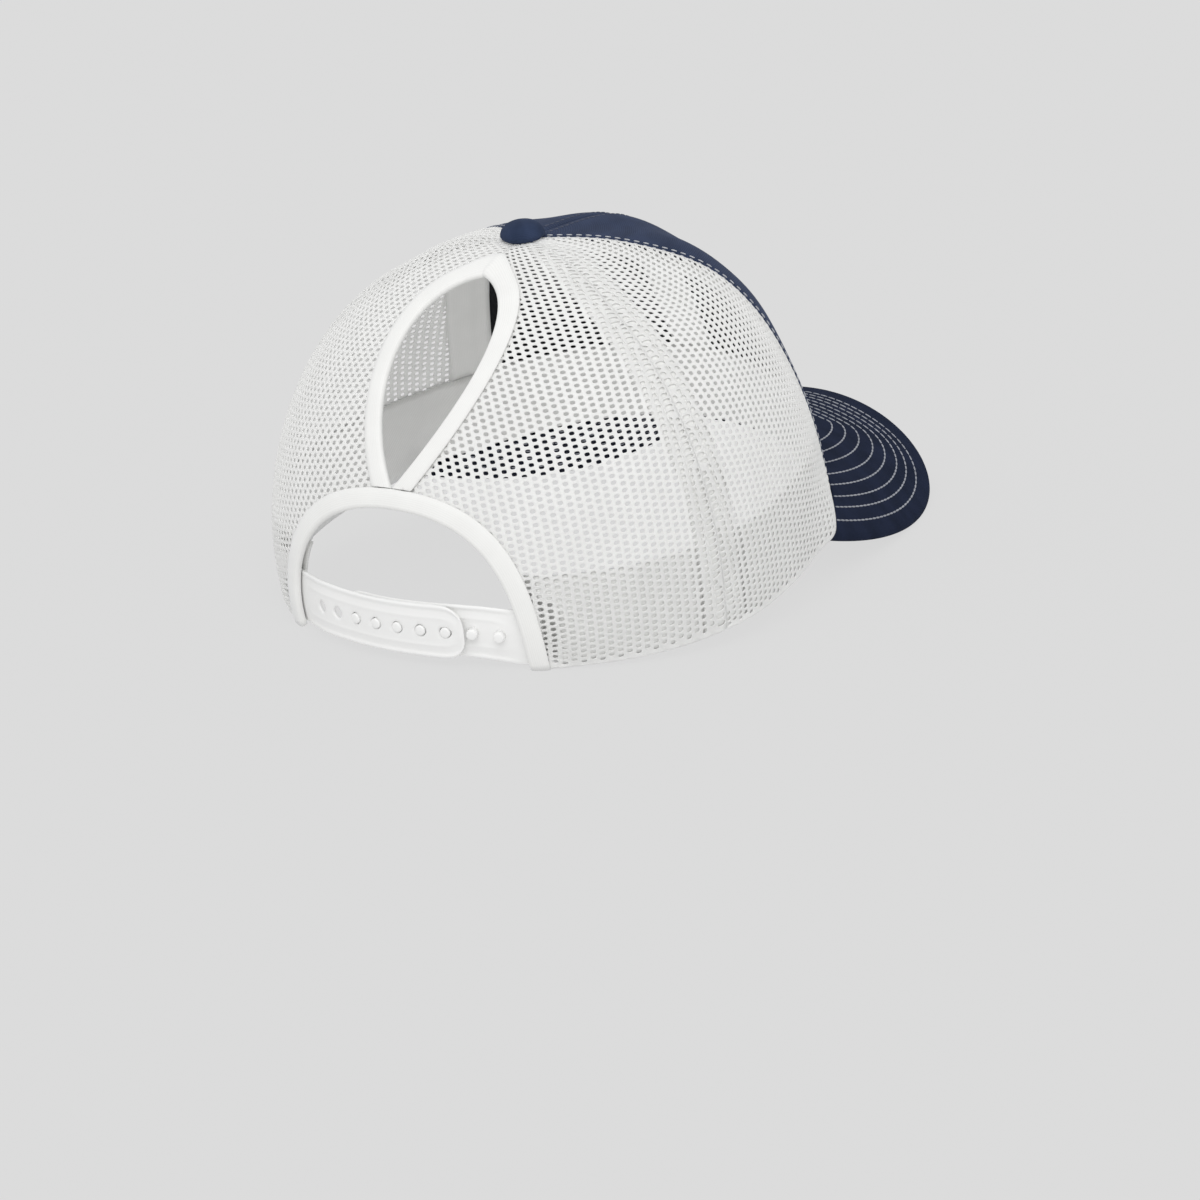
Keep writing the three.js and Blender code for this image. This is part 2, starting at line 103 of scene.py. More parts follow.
def signed_power(value: Array, power: float) -> Array:
    """Power of a size that keeps the value's sign."""
    return np.sign(value) * np.abs(value) ** power


def unit(vectors: Array) -> Array:
    """Vectors along the last axis, each made one long."""
    return vectors / np.maximum(np.linalg.norm(vectors, axis=-1, keepdims=True), 1e-12)


def walked(points: Array) -> Array:
    """Length walked along a row of points, from 0."""
    steps = np.linalg.norm(np.diff(points, axis=0), axis=1)
    return np.concatenate([[0.0], np.cumsum(steps)])


def read_points(places: Array, lengths: Array, points: Array) -> Array:
    """Points at places along a row whose lengths are known."""
    return np.stack([np.interp(places, lengths, column) for column in points.T], axis=-1)


# Form of the crown


@dataclass(frozen=True)
class CrownForm:
    """Outer face of the crown, by an angle round it and a climb up it.

    The angle is 0 at the front and grows to the wearer's right. The climb is 0 at
    the rim and a quarter turn under the button.
    """

    rim_front: float = 101.5
    rim_back: float = 83.0
    rim_side: float = 91.0
    rim_squareness: float = 1.97
    rim_lift: float = 33.2
    rim_lift_power: float = 1.73
    height: float = 118.0
    top_behind: float = 4.0
    front_swell: float = 11.8
    profile_front: float = 2.22
    profile_side: float = 2.38
    profile_back: float = 1.62
    side_bulge: float = 0.034
    front_tuck: float = -0.13
    front_seam_deg: float = 52.4
    rear_seam_deg: float = 107.1
    seam_lean_deg: float = 7.7
    flare: float = 3.2
    flare_deg: float = 65.5
    # Turn and climb of each dent, its widths along both, all in degrees, and its size in millimetres
    dents: tuple[tuple[float, float, float, float, float], ...] = (
        (27, 55, 13, 14, -1.7), (84, 63, 26, 9, -2.0), (40, 70, 20, 7, -0.9), (47, 38, 8, 8, 0.8))
    divisions: int = 160

    def rim(self, angle: Array) -> Array:
        """Points of the rim at angles."""
        power = 2 / self.rim_squareness
        along = np.cos(angle)
        reach = np.where(along > 0, self.rim_front, self.rim_back)
        x = -self.rim_side * signed_power(np.sin(angle), power)
        y = -reach * signed_power(along, power)
        z = self.rim_lift * ((1 + along) / 2) ** self.rim_lift_power
        return np.stack([x, y, z], axis=-1)

    def point(self, angle: Array, climb: Array) -> Array:
        """Points of the outer face.

        Args:
            angle: Angles round the crown.
            climb: Climbs up the crown, one for each angle.

        Returns:
            Points in millimetres in the cap's own axes.
        """
        angle, climb = np.broadcast_arrays(np.asarray(angle, float), np.asarray(climb, float))
        ahead = np.cos(angle)
        fore, aft = np.maximum(ahead, 0), np.maximum(-ahead, 0)
        fullness = (self.profile_side + (self.profile_front - self.profile_side) * fore
                    + (self.profile_back - self.profile_side) * aft)
        power = 2 / fullness
        bulge = self.side_bulge + self.front_tuck * ahead
        reach = np.abs(np.cos(climb)) ** power * (1 + bulge * np.sin(2 * climb))
        top = self.height + self.front_swell * fore * np.sin(2 * climb) ** 2
        rim = self.rim(angle)
        x = rim[..., 0] * reach
        y = mix(self.top_behind, rim[..., 1], reach)
        z = mix(rim[..., 2], top, np.abs(np.sin(climb)) ** power)
        out = np.stack([x, y - self.top_behind, z - 20], axis=-1)
        return np.stack([x, y, z], axis=-1) + unit(out) * self.swelling(angle, climb)[..., None]

    def swelling(self, angle: Array, climb: Array) -> Array:
        """Soft hollows and swellings that wear and sewing leave in the form."""
        turn = np.degrees(np.abs((angle + math.pi) % (2 * math.pi) - math.pi))
        rise = np.degrees(climb)
        swelling = np.zeros_like(turn)
        for middle, height, wide, tall, size in self.dents:
            swelling += size * np.exp(-((turn - middle) / wide) ** 2 - ((rise - height) / tall) ** 2)
        wide = np.where(turn < self.flare_deg, 9.0, 5.0)
        flare = np.exp(-((turn - self.flare_deg) / wide) ** 2)
        return swelling + self.flare * flare * (1 - smoothstep(rise, 0, 9))

    def inward(self, angle: Array, climb: Array) -> Array:
        """Unit directions into the crown."""
        step = 1e-3
        held = np.clip(climb, 2 * step, QUARTER - 2 * step)
        around = self.point(angle + step, held) - self.point(angle - step, held)
        upward = self.point(angle, held + step) - self.point(angle, held - step)
        return unit(np.cross(around, upward))

    def inside(self, angle: Array, climb: Array, depth: Any) -> Array:
        """Points at a depth below the outer face, or above it where depth is negative."""
        angle, climb = np.broadcast_arrays(np.asarray(angle, float), np.asarray(climb, float))
        depth = np.broadcast_to(np.asarray(depth, float), angle.shape)
        return self.point(angle, climb) + self.inward(angle, climb) * depth[..., None]

    def girth(self, angle: Array, climb: Array) -> Array:
        """Millimetres of cloth for each radian of angle."""
        step = 0.25
        span = self.point(np.asarray(angle) + step, climb) - self.point(np.asarray(angle) - step, climb)
        return np.linalg.norm(span, axis=-1) / (2 * math.sin(step))

    def climb_at(self, angle: Array, length: Array) -> Array:
        """Climbs at cloth lengths up from the rim, one for each angle."""
        angle, length = np.broadcast_arrays(np.asarray(angle, float), np.asarray(length, float))
        climbs = np.linspace(0, QUARTER, self.divisions + 1)
        found = np.empty(angle.shape)
        for value in np.unique(angle):
            here = angle == value
            lengths = walked(self.point(np.full_like(climbs, value), climbs))
            found[here] = np.interp(length[here], lengths, climbs)
        return found

    def climb_at_radius(self, angle: Array, radius: float) -> Array:
        """Climbs at a radius from the button's axis."""
        angle = np.asarray(angle, float)
        low = np.full(angle.shape, QUARTER / 2)
        high = np.full(angle.shape, QUARTER)
        for _ in range(40):
            middle = (low + high) / 2
            point = self.point(angle, middle)
            far = np.hypot(point[..., 0], point[..., 1] - self.top_behind) > radius
            low, high = np.where(far, middle, low), np.where(far, high, middle)
        return low

    def front_seam(self, climb: Array) -> Array:
        """Angle of the seam between front and side panels."""
        return np.radians(self.front_seam_deg + self.seam_lean_deg * np.sin(climb))

    def rear_seam(self, climb: Array) -> Array:
        """Angle of the seam between side and rear panels."""
        return np.radians(self.rear_seam_deg + self.seam_lean_deg * np.sin(climb))

    def front_middle(self, climb: Array) -> Array:
        """Angle of the seam in the middle of the front."""
        return np.zeros_like(np.asarray(climb, float))

    def back_middle(self, climb: Array) -> Array:
        """Angle of the line up the middle of the back."""
        return np.full_like(np.asarray(climb, float), math.pi)


@dataclass(frozen=True)
class BackChart:
    """Places on the back of the crown, by cloth lengths across and up from the rim."""

    form: CrownForm

    def table(self) -> tuple[Array, Array]:
        """Cloth lengths and climbs up the middle of the back."""
        climbs = np.linspace(0, QUARTER, self.form.divisions + 1)
        return walked(self.form.point(np.full_like(climbs, math.pi), climbs)), climbs

    def girth(self, climb: Array) -> Array:
        """Millimetres of cloth for each radian of angle, in the middle of the back."""
        return self.form.girth(np.full_like(climb, math.pi), climb)

    def point(self, across: Array, height: Array, depth: Any) -> Array:
        """Points at cloth lengths across and up, at a depth below the face."""
        climb = np.interp(height, *self.table())
        angle = math.pi - np.asarray(across, float) / self.girth(climb)
        return self.form.inside(angle, climb, depth)

    def chart(self, angle: Array, climb: Array) -> tuple[Array, Array]:
        """Lengths across and up of points given by angle and climb."""
        lengths, climbs = self.table()
        return (math.pi - np.asarray(angle)) * self.girth(climb), np.interp(climb, climbs, lengths)

    def length(self) -> float:
        """Cloth length from the rim to the button's axis."""
        return float(self.table()[0][-1])


FORM = CrownForm()
BACK = BackChart(FORM)
SHIFT = np.array([0.0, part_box("front_panel_right")[0].y / MM + FORM.rim_front, 0.0])


def to_frame(points: Array) -> Array:
    """Millimetres in the cap's own axes turned to metres in the part's frame."""
    return (points + SHIFT) * MM


# Materials


def linear(hex_colour: str) -> tuple[float, float, float, float]:
    """Linear colour of an sRGB hex value."""
    channels = (int(hex_colour[i:i + 2], 16) / 255 for i in (1, 3, 5))
    red, green, blue = (c / 12.92 if c <= 0.04045 else ((c + 0.055) / 1.055) ** 2.4 for c in channels)
    return red, green, blue, 1.0


def add_node(tree: Tree, kind: str, settings: dict[str, Any] | None = None,
             links: dict[str, Socket] | None = None) -> bpy.types.Node:
    """Adds a node with its settings and links.

    Args:
        tree: Node tree of a material or world.
        kind: Blender's name of the node type.
        settings: Input values or node properties by name.
        links: Sockets that feed inputs, by input name.

    Returns:
        The new node.
    """
    node = tree.nodes.new(kind)
    for name, value in (settings or {}).items():
        if name in node.inputs:
            node.inputs[name].default_value = value
        else:
            setattr(node, name, value)
    for name, socket in (links or {}).items():
        tree.links.new(socket, node.inputs[name])
    return node


def wave_scale(period_mm: float) -> float:
    """Scale of a wave texture whose bands come at a distance in millimetres."""
    return 2 * math.pi / (20 * period_mm * MM)


def new_material(name: str, shown: str) -> tuple[Material, Tree, bpy.types.Node]:
    """An empty material with its output, and the colour it has in the viewport."""
    material = bpy.data.materials.new(name)
    material.use_nodes = True
    material.diffuse_color = linear(shown)
    tree = material.node_tree
    tree.nodes.clear()
    output = add_node(tree, "ShaderNodeOutputMaterial")
    return material, tree, output


@dataclass(frozen=True)
class WovenCloth:
    """Cloth with slanted or level ribs over soft patches of shade, drawn on the piece's own UV map."""

    name: str
    deep: str
    raised: str
    rib_mm: float
    rib_turn_deg: float
    relief_mm: float
    roughness: float
    sheen: float
    patch_mm: float = 9.0
    contrast: float = 0.5
    shine: float = 0.2

    def build(self) -> Material:
        """Builds the material."""
        material, tree, output = new_material(self.name, self.raised)
        place = add_node(tree, "ShaderNodeUVMap", {"uv_map": "cloth"}).outputs["UV"]
        turned = add_node(tree, "ShaderNodeMapping",
                          {"Rotation": (0, 0, math.radians(self.rib_turn_deg))}, {"Vector": place})
        ribs = add_node(tree, "ShaderNodeTexWave",
                        {"Scale": wave_scale(self.rib_mm), "Distortion": 1.2, "Detail": 1.0,
                         "Detail Scale": 1.6}, {"Vector": turned.outputs["Vector"]})
        yarn = add_node(tree, "ShaderNodeTexNoise",
                        {"Scale": 1 / (0.55 * MM), "Detail": 2.0, "Roughness": 0.6}, {"Vector": place})
        patches = add_node(tree, "ShaderNodeTexNoise",
                           {"Scale": 1 / (self.patch_mm * MM), "Detail": 3.0}, {"Vector": place})
        weave = add_node(tree, "ShaderNodeMix", {"data_type": "FLOAT", "Factor": 0.5},
                         {"A": ribs.outputs["Fac"], "B": yarn.outputs["Fac"]})
        shade = add_node(tree, "ShaderNodeMix", {"data_type": "FLOAT", "Factor": self.contrast},
                         {"A": patches.outputs["Fac"], "B": weave.outputs["Result"]})
        colour = add_node(tree, "ShaderNodeMix",
                          {"data_type": "RGBA", "A": linear(self.deep), "B": linear(self.raised)})
        ramp = add_node(tree, "ShaderNodeMapRange", {"From Min": 0.3, "From Max": 0.7},
                        {"Value": shade.outputs["Result"]})
        tree.links.new(ramp.outputs["Result"], colour.inputs["Factor"])
        bump = add_node(tree, "ShaderNodeBump", {"Strength": 0.6, "Distance": self.relief_mm * MM},
                        {"Height": weave.outputs["Result"]})
        shader = add_node(tree, "ShaderNodeBsdfPrincipled",
                          {"Roughness": self.roughness, "Sheen Weight": self.sheen,
                           "Sheen Roughness": 0.5, "Sheen Tint": linear("#c8d2f0"),
                           "Specular IOR Level": self.shine},
                          {"Base Color": colour.outputs["Result"], "Normal": bump.outputs["Normal"]})
        tree.links.new(shader.outputs["BSDF"], output.inputs["Surface"])
        return material


@dataclass(frozen=True)
class FineYarn:
    """Yarn of a knitted net or of sewing thread: fine twisted filaments on Object coordinates."""

    name: str
    deep: str
    raised: str
    filament_mm: float
    relief_mm: float
    roughness: float
    sheen: float
    through: float = 0.0

    def build(self) -> Material:
        """Builds the material."""
        material, tree, output = new_material(self.name, self.raised)
        place = add_node(tree, "ShaderNodeTexCoord").outputs["Object"]
        strands = add_node(tree, "ShaderNodeTexNoise",
                           {"Scale": 1 / (self.filament_mm * MM), "Detail": 3.0, "Roughness": 0.65},
                           {"Vector": place})
        soft = add_node(tree, "ShaderNodeTexNoise", {"Scale": 1 / (14 * MM), "Detail": 2.0},
                        {"Vector": place})
        shade = add_node(tree, "ShaderNodeMix", {"data_type": "FLOAT", "Factor": 0.5},
                         {"A": strands.outputs["Fac"], "B": soft.outputs["Fac"]})
        ramp = add_node(tree, "ShaderNodeMapRange", {"From Min": 0.3, "From Max": 0.6},
                        {"Value": shade.outputs["Result"]})
        colour = add_node(tree, "ShaderNodeMix",
                          {"data_type": "RGBA", "A": linear(self.deep), "B": linear(self.raised)},
                          {"Factor": ramp.outputs["Result"]})
        bump = add_node(tree, "ShaderNodeBump", {"Strength": 0.5, "Distance": self.relief_mm * MM},
                        {"Height": strands.outputs["Fac"]})
        shader = add_node(tree, "ShaderNodeBsdfPrincipled",
                          {"Roughness": self.roughness, "Sheen Weight": self.sheen,
                           "Specular IOR Level": 0.35, "Subsurface Weight": self.through,
                           "Subsurface Radius": (1.2 * MM, 1.2 * MM, 1.2 * MM), "Subsurface Scale": 1.0},
                          {"Base Color": colour.outputs["Result"], "Normal": bump.outputs["Normal"]})
        tree.links.new(shader.outputs["BSDF"], output.inputs["Surface"])
        return material


@dataclass(frozen=True)
class MouldedPlastic:
    """Injection-moulded plastic with a faint grain and soft gloss."""

    name: str
    deep: str
    raised: str
    grain_mm: float
    roughness: float
    through: float

    def build(self) -> Material:
        """Builds the material."""
        material, tree, output = new_material(self.name, self.raised)
        place = add_node(tree, "ShaderNodeTexCoord").outputs["Object"]
        grain = add_node(tree, "ShaderNodeTexNoise",
                         {"Scale": 1 / (self.grain_mm * MM), "Detail": 3.0}, {"Vector": place})
        flow = add_node(tree, "ShaderNodeTexNoise", {"Scale": 1 / (22 * MM), "Detail": 1.0},
                        {"Vector": place})
        colour = add_node(tree, "ShaderNodeMix",
                          {"data_type": "RGBA", "A": linear(self.deep), "B": linear(self.raised)},
                          {"Factor": flow.outputs["Fac"]})
        gloss = add_node(tree, "ShaderNodeMapRange",
                         {"To Min": self.roughness - 0.06, "To Max": self.roughness + 0.08},
                         {"Value": grain.outputs["Fac"]})
        bump = add_node(tree, "ShaderNodeBump", {"Strength": 0.15, "Distance": 0.03 * MM},
                        {"Height": grain.outputs["Fac"]})
        shader = add_node(tree, "ShaderNodeBsdfPrincipled",
                          {"IOR": 1.51, "Subsurface Weight": self.through,
                           "Subsurface Radius": (1.5 * MM, 1.5 * MM, 1.5 * MM), "Subsurface Scale": 1.0},
                          {"Base Color": colour.outputs["Result"], "Roughness": gloss.outputs["Result"],
                           "Normal": bump.outputs["Normal"]})
        tree.links.new(shader.outputs["BSDF"], output.inputs["Surface"])
        return material


@dataclass
class Finishes:
    """Every finish on the cap, built once."""

    # Brushed navy cotton twill: matt, with slanted ribs and a dusty sheen at grazing angles.
    # The real ribs are 0.5 mm apart and are drawn at 0.9 mm, so that they show.
    # Its colour is a little lighter than the visor's copy of the same twill: painted light on the tops of
    # the panels.
    navy: Material = field(default_factory=WovenCloth(
        "navy_cotton_twill", "#222b3f", "#35415d", 0.9, 58, 0.12, 0.9, 0.08, shine=0.08).build)
    # The same twill over the visor's board, in a darker colour than the panels' copy: painted shade
    visor: Material = field(default_factory=WovenCloth(
        "navy_visor_twill_painted_shade", "#171e2d", "#252d44", 0.9, 58, 0.1, 0.9, 0.0, shine=0.05).build)
    # The same twill pulled over the button: its ribs are stretched out of sight
    button: Material = field(default_factory=WovenCloth(
        "navy_button_twill", "#263045", "#38445f", 0.6, 58, 0.02, 0.9, 0.05, contrast=0.15,
        shine=0.08).build)
    # The same twill under the visor, coloured almost black: painted shade under the visor
    shaded_undervisor: Material = field(default_factory=WovenCloth(
        "undervisor_twill_painted_shade", "#12151f", "#1b1f2e", 0.9, 58, 0.12, 0.9, 0.0, shine=0.08).build)
    # Black coated buckram inside the front panels: open, flat and dull
    buckram: Material = field(default_factory=WovenCloth(
        "black_coated_buckram", "#161719", "#232427", 1.4, 0, 0.15, 0.85, 0.0).build)
    # Knitted polyester net yarn: clean white, a little light passes through
    net: Material = field(default_factory=FineYarn(
        "knitted_polyester_net", "#e9e9e7", "#f2f2f0", 0.5, 0.08, 0.6, 0.05, 0.6).build)
    # Woven polyester-cotton binding tape: plain, matt and even
    tape: Material = field(default_factory=WovenCloth(
        "woven_binding_tape", "#f1f1ef", "#f8f8f6", 0.6, 0, 0.02, 0.8, 0.1).build)
    # Brushed cotton sweatband: soft white nap
    band: Material = field(default_factory=WovenCloth(
        "brushed_cotton_sweatband", "#eaeae8", "#f2f2f0", 0.9, 35, 0.08, 0.95, 0.2).build)
    # Injection-moulded polyethylene of the snap strap: milky, soft gloss
    plastic: Material = field(default_factory=MouldedPlastic(
        "moulded_polyethylene", "#f7f7f6", "#fcfcfb", 0.6, 0.36, 0.12).build)
    # Spun polyester thread, mid grey on the navy visor
    grey_thread: Material = field(default_factory=FineYarn(
        "mid_grey_sewing_thread", "#868a93", "#a6a9b2", 0.3, 0.05, 0.7, 0.1).build)
    # Spun polyester thread, light grey on navy
    pale_thread: Material = field(default_factory=FineYarn(
        "light_grey_sewing_thread", "#a5a8b0", "#c6c8cd", 0.3, 0.05, 0.7, 0.2).build)
    # Spun polyester thread, white on white
    white_thread: Material = field(default_factory=FineYarn(
        "white_sewing_thread", "#e6e6e4", "#f5f5f3", 0.3, 0.05, 0.7, 0.2).build)
    # Spun polyester thread, navy on navy
    navy_thread: Material = field(default_factory=FineYarn(
        "navy_sewing_thread", "#252c40", "#3a435c", 0.3, 0.05, 0.7, 0.2).build)


# Meshes


def object_from(name: str, mesh: bpy.types.Mesh,
                materials: Sequence[Material]) -> Piece:
    """Links a mesh as an object with smooth faces and its materials."""
    for material in materials:
        mesh.materials.append(material)
    mesh.polygons.foreach_set("use_smooth", [True] * len(mesh.polygons))
    piece = bpy.data.objects.new(name, mesh)
    bpy.context.scene.collection.objects.link(piece)
    return piece


def finish_mesh(bm: BMesh, name: str,
                materials: Sequence[Material]) -> Piece:
    """Turns a bmesh into an object and frees it."""
    mesh = bpy.data.meshes.new(name)
    bm.to_mesh(mesh)
    bm.free()
    return object_from(name, mesh, materials)


def flat_grid(columns: int, rows: int) -> tuple[BMesh, Array, Array]:
    """A grid with the shares from 0 to 1 of each vertex along its two sides."""
    bm = bmesh.new()
    bmesh.ops.create_grid(bm, x_segments=columns, y_segments=rows, size=0.5)
    bm.verts.ensure_lookup_table()
    flat = np.array([vert.co[:2] for vert in bm.verts]) + 0.5
    return bm, flat[:, 0], flat[:, 1]


def lay(bm: BMesh, points: Array, weave: Array | None = None,
        away: Sequence[float] = (0, 0, 50)) -> None:
    """Moves the vertices to points, with faces turned away from a place.

    Args:
        bm: Mesh to move.
        points: A point for each vertex, in millimetres in the cap's axes.
        weave: Place of each vertex on the flat cloth, in millimetres, for the UV map.
        away: Place inside the form, in the same axes as the points.
    """
    placed = to_frame(points)
    for vert, place in zip(bm.verts, placed):
        vert.co = place
    if weave is not None:
        bm.verts.index_update()
        layer = bm.loops.layers.uv.new("cloth")
        flat = np.asarray(weave) * MM
        for face in bm.faces:
            for loop in face.loops:
                loop[layer].uv = flat[loop.vert.index]
    bm.normal_update()
    centre = Vector(to_frame(np.asarray(away, float)))
    turned = sum(face.normal.dot(face.calc_center_median() - centre) for face in bm.faces)
    if turned < 0:
        bmesh.ops.reverse_faces(bm, faces=bm.faces[:])
        bm.normal_update()


def round_off(piece: Piece, levels: int = 1) -> None:
    """Subdivides a piece smoothly."""
    smooth = piece.modifiers.new("rounding", "SUBSURF")
    smooth.levels = smooth.render_levels = levels


def thicken(piece: Piece, wall_mm: float, inner_material: int = 0) -> None:
    """Gives a sheet its thickness inwards.

    Args:
        piece: Sheet whose faces point outwards.
        wall_mm: Thickness in millimetres.
        inner_material: Step from the outer face's material to the inner face's.
    """
    wall = piece.modifiers.new("wall", "SOLIDIFY")
    wall.thickness = wall_mm * MM
    wall.offset = -1
    wall.material_offset = inner_material


def settle(piece: Piece, slot: Slot, *nodes: str) -> Piece:
    """Rides a piece on the cap, hides the CAD nodes it stands for and logs its faces and area."""
    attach(piece, "root")
    if nodes:
        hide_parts(*nodes)
    area = sum(polygon.area for polygon in piece.data.polygons)
    LOG.info("%s: %d faces, %.5f square metres", piece.name, len(piece.data.polygons), area)
    return piece


def sew_sheet(bm: BMesh, name: str, materials: Sequence[Material], wall_mm: float, slot: Slot, node: str,
              **measures: Any) -> None:
    """Args:
        bm: Cloth laid in its place.
        name: Name of the piece.
        materials: Outer finish, then the inner one where it differs.
        wall_mm: Thickness in millimetres.
        slot: Material slot of the record; not used.
        node: CAD node that the piece stands for.
        **measures: Flat size, area and rests of the sheet; not used.
    """
    piece = finish_mesh(bm, name, materials)
    thicken(piece, wall_mm, inner_material=len(materials) - 1)
    settle(piece, slot, node)


def seam_valley(distance: Array) -> Array:
    """Depth of the dip that a seam pulls into the cloth beside it."""
    return SEAM_DIP * np.exp(-(np.asarray(distance) / SEAM_REACH) ** 2)


# Stitches


@dataclass(frozen=True)
class Line:
    """Points on cloth with the direction out of it at each."""

    points: Array
    normals: Array

    def resampled(self, places: Array) -> tuple[Array, Array, Array]:
        """Points, directions along and directions out at lengths along the line."""
        lengths = walked(self.points)
        ahead = read_points(places + 0.5, lengths, self.points)
        behind = read_points(places - 0.5, lengths, self.points)
        out = read_points(places, lengths, self.normals)
        return read_points(places, lengths, self.points), unit(ahead - behind), unit(out)


@dataclass(frozen=True)
class Stitching:
    """A row of stitches, each a small rounded bar of thread that dips into the cloth at its ends."""

    length: float
    pitch: float
    width: float
    proud: float

    def template(self) -> tuple[Array, list[list[int]]]:
        """Vertices and faces of one stitch, one long and lying along X."""
        bm = bmesh.new()
        bmesh.ops.create_uvsphere(bm, u_segments=6, v_segments=4, radius=1,
                                  matrix=Matrix.Rotation(QUARTER, 4, "Y"))
        bm.verts.index_update()
        verts = np.array([vert.co[:] for vert in bm.verts])
        faces = [[vert.index for vert in face.verts] for face in bm.faces]
        bm.free()
        verts[:, 0] = signed_power(verts[:, 0], 0.6)
        return verts, faces

    def sew(self, name: str, lines: Iterable[Line], material: Material,
            slot: Slot) -> Piece:
        """Sews the rows as one joined mesh.

        Args:
            name: Name of the piece.
            lines: Lines to sew along, in millimetres in the cap's axes.
            material: Thread.
            slot: Material slot of the record; not used.

        Returns:
            The piece, riding on the cap.
        """
        bar, faces = self.template()
        places = []
        for line in lines:
            total = walked(line.points)[-1]
            if total < self.pitch:
                continue
            middles = np.arange(self.pitch / 2, total, self.pitch)
            at, along, out = line.resampled(middles)
            side = unit(np.cross(out, along))
            out = np.cross(along, side)
            sizes = np.array([self.length / 2, self.width / 2, self.proud])
            places.append(at[:, None] + (bar[None, :, 0:1] * sizes[0]) * along[:, None]
                          + (bar[None, :, 1:2] * sizes[1]) * side[:, None]
                          + (bar[None, :, 2:3] * sizes[2]) * out[:, None])
        verts = to_frame(np.concatenate(places).reshape(-1, 3))
        count = len(verts) // len(bar)
        joined = [[vert + k * len(bar) for vert in face] for k in range(count) for face in faces]
        mesh = bpy.data.meshes.new(name)
        mesh.from_pydata(verts.tolist(), [], joined)
        return settle(object_from(name, mesh, [material]), slot)


def crown_line(angle: Array, climb: Array, depth: float = 0.0) -> Line:
    """Line on the crown through angles and climbs."""
    return Line(FORM.inside(angle, climb, depth), -FORM.inward(angle, climb))


# Crown panels


@dataclass
class FrontPanels:
    """The two stiff navy panels, lined with buckram."""

    wall: float = 1.3
    margin: float = 0.12
    top_radius: float = 2.6
    columns: int = 44
    rows: int = 72
    top_deg: float = 25.0
    girth_deg: float = 28.0

    def build(self, finishes: Finishes) -> None:
        """Builds both panels with their sheets."""
        for side in Side:
            sew_sheet(self.panel(side), f"front_panel_cloth_{side.word}", [finishes.navy, finishes.buckram],
                      self.wall, Slot.NAVY, f"front_panel_{side.word}", flat=(0.098, 0.150), area=0.0098,
                      rests_on=["visor_top"])

    def panel(self, side: Side) -> BMesh:
        """Cloth of one panel from the front seam to the side seam."""
        bm, u, v = flat_grid(self.columns, self.rows)
        climb = v * FORM.climb_at_radius(np.full_like(v, math.radians(self.top_deg)), self.top_radius)
        reach = FORM.girth(np.full_like(v, math.radians(self.girth_deg)), climb)
        start = self.margin / reach
        end = FORM.front_seam(climb) - self.margin / reach
        angle = mix(start, end, u)
        climb = v * FORM.climb_at_radius(angle, self.top_radius)
        beside = np.minimum(angle, end - angle + self.margin / reach) * reach
        depth = seam_valley(beside) * smoothstep(v, 0.0, 0.1)
        points = FORM.inside(side.value * angle, climb, depth)
        weave = np.stack([side.value * angle * reach, FORM.height * 1.25 * v], axis=-1)
        lay(bm, points, weave)
        return bm


@dataclass
class Opening:
    """Outline of an opening in the back, as cloth lengths across and up."""

    outline: Array

    def outward(self) -> Array:
        """Directions away from the opening at each point of the outline."""
        along = np.empty_like(self.outline)
        along[1:-1] = self.outline[2:] - self.outline[:-2]
        along[0] = self.outline[1] - self.outline[0]
        along[-1] = self.outline[-1] - self.outline[-2]
        along = unit(along)
        return np.stack([along[:, 1], -along[:, 0]], axis=-1)

    def grown(self, distance: float) -> Array:
        """The outline moved away from the opening."""
        return self.outline + self.outward() * distance

    def beyond(self, across: Array, height: Array) -> Array:
        """Distance of places outside the outline, negative inside it."""
        places = np.stack([across, height], axis=-1)[:, None]
        starts, ends = self.outline[None, :-1], self.outline[None, 1:]
        legs = ends - starts
        share = np.clip(((places - starts) * legs).sum(-1) / np.maximum((legs ** 2).sum(-1), 1e-9), 0, 1)
        gaps = places - (starts + share[..., None] * legs)
        nearest = np.argmin((gaps ** 2).sum(-1), axis=1)
        row = np.arange(len(across))
        distance = np.sqrt((gaps[row, nearest] ** 2).sum(-1))
        leg = legs[0, nearest]
        turn = leg[:, 0] * gaps[row, nearest, 1] - leg[:, 1] * gaps[row, nearest, 0]
        return np.where(turn > 0, -distance, distance)


def arch_opening(half_width: float = 46.5, height: float = 48.9, squareness: float = 2.15,
                 aside: float = 0.6, lean: float = 1.2, count: int = 120) -> Opening:
    """The rear opening over the snap strap."""
    turn = np.linspace(0, math.pi, count + 1)
    power = 2 / squareness
    across = half_width * signed_power(np.cos(turn), power) + aside + lean * np.sin(turn) ** 2
    return Opening(np.stack([across, height * np.abs(np.sin(turn)) ** power], axis=-1))


def teardrop_opening(half_width: float = 16.8, bottom: float = 55.2, below_top: float = 23.7,
                     lower: float = 0.98, upper: float = 0.69, count: int = 200) -> Opening:
    """The ponytail opening, widest above its middle."""
    turn = np.linspace(0, 2 * math.pi, count + 1)
    climb = (1 - np.cos(turn)) / 2
    widest = lower / (lower + upper)
    shape = np.clip(climb, 0, 1) ** lower * np.clip(1 - climb, 0, 1) ** upper
    shape = shape / (widest ** lower * (1 - widest) ** upper)
    side = np.where(turn <= math.pi, 1.0, -1.0)
    across = side * np.maximum(half_width * shape, 0.02)
    return Opening(np.stack([across, mix(bottom, BACK.length() - below_top, climb)], axis=-1))


ARCH = arch_opening()
TEARDROP = teardrop_opening()


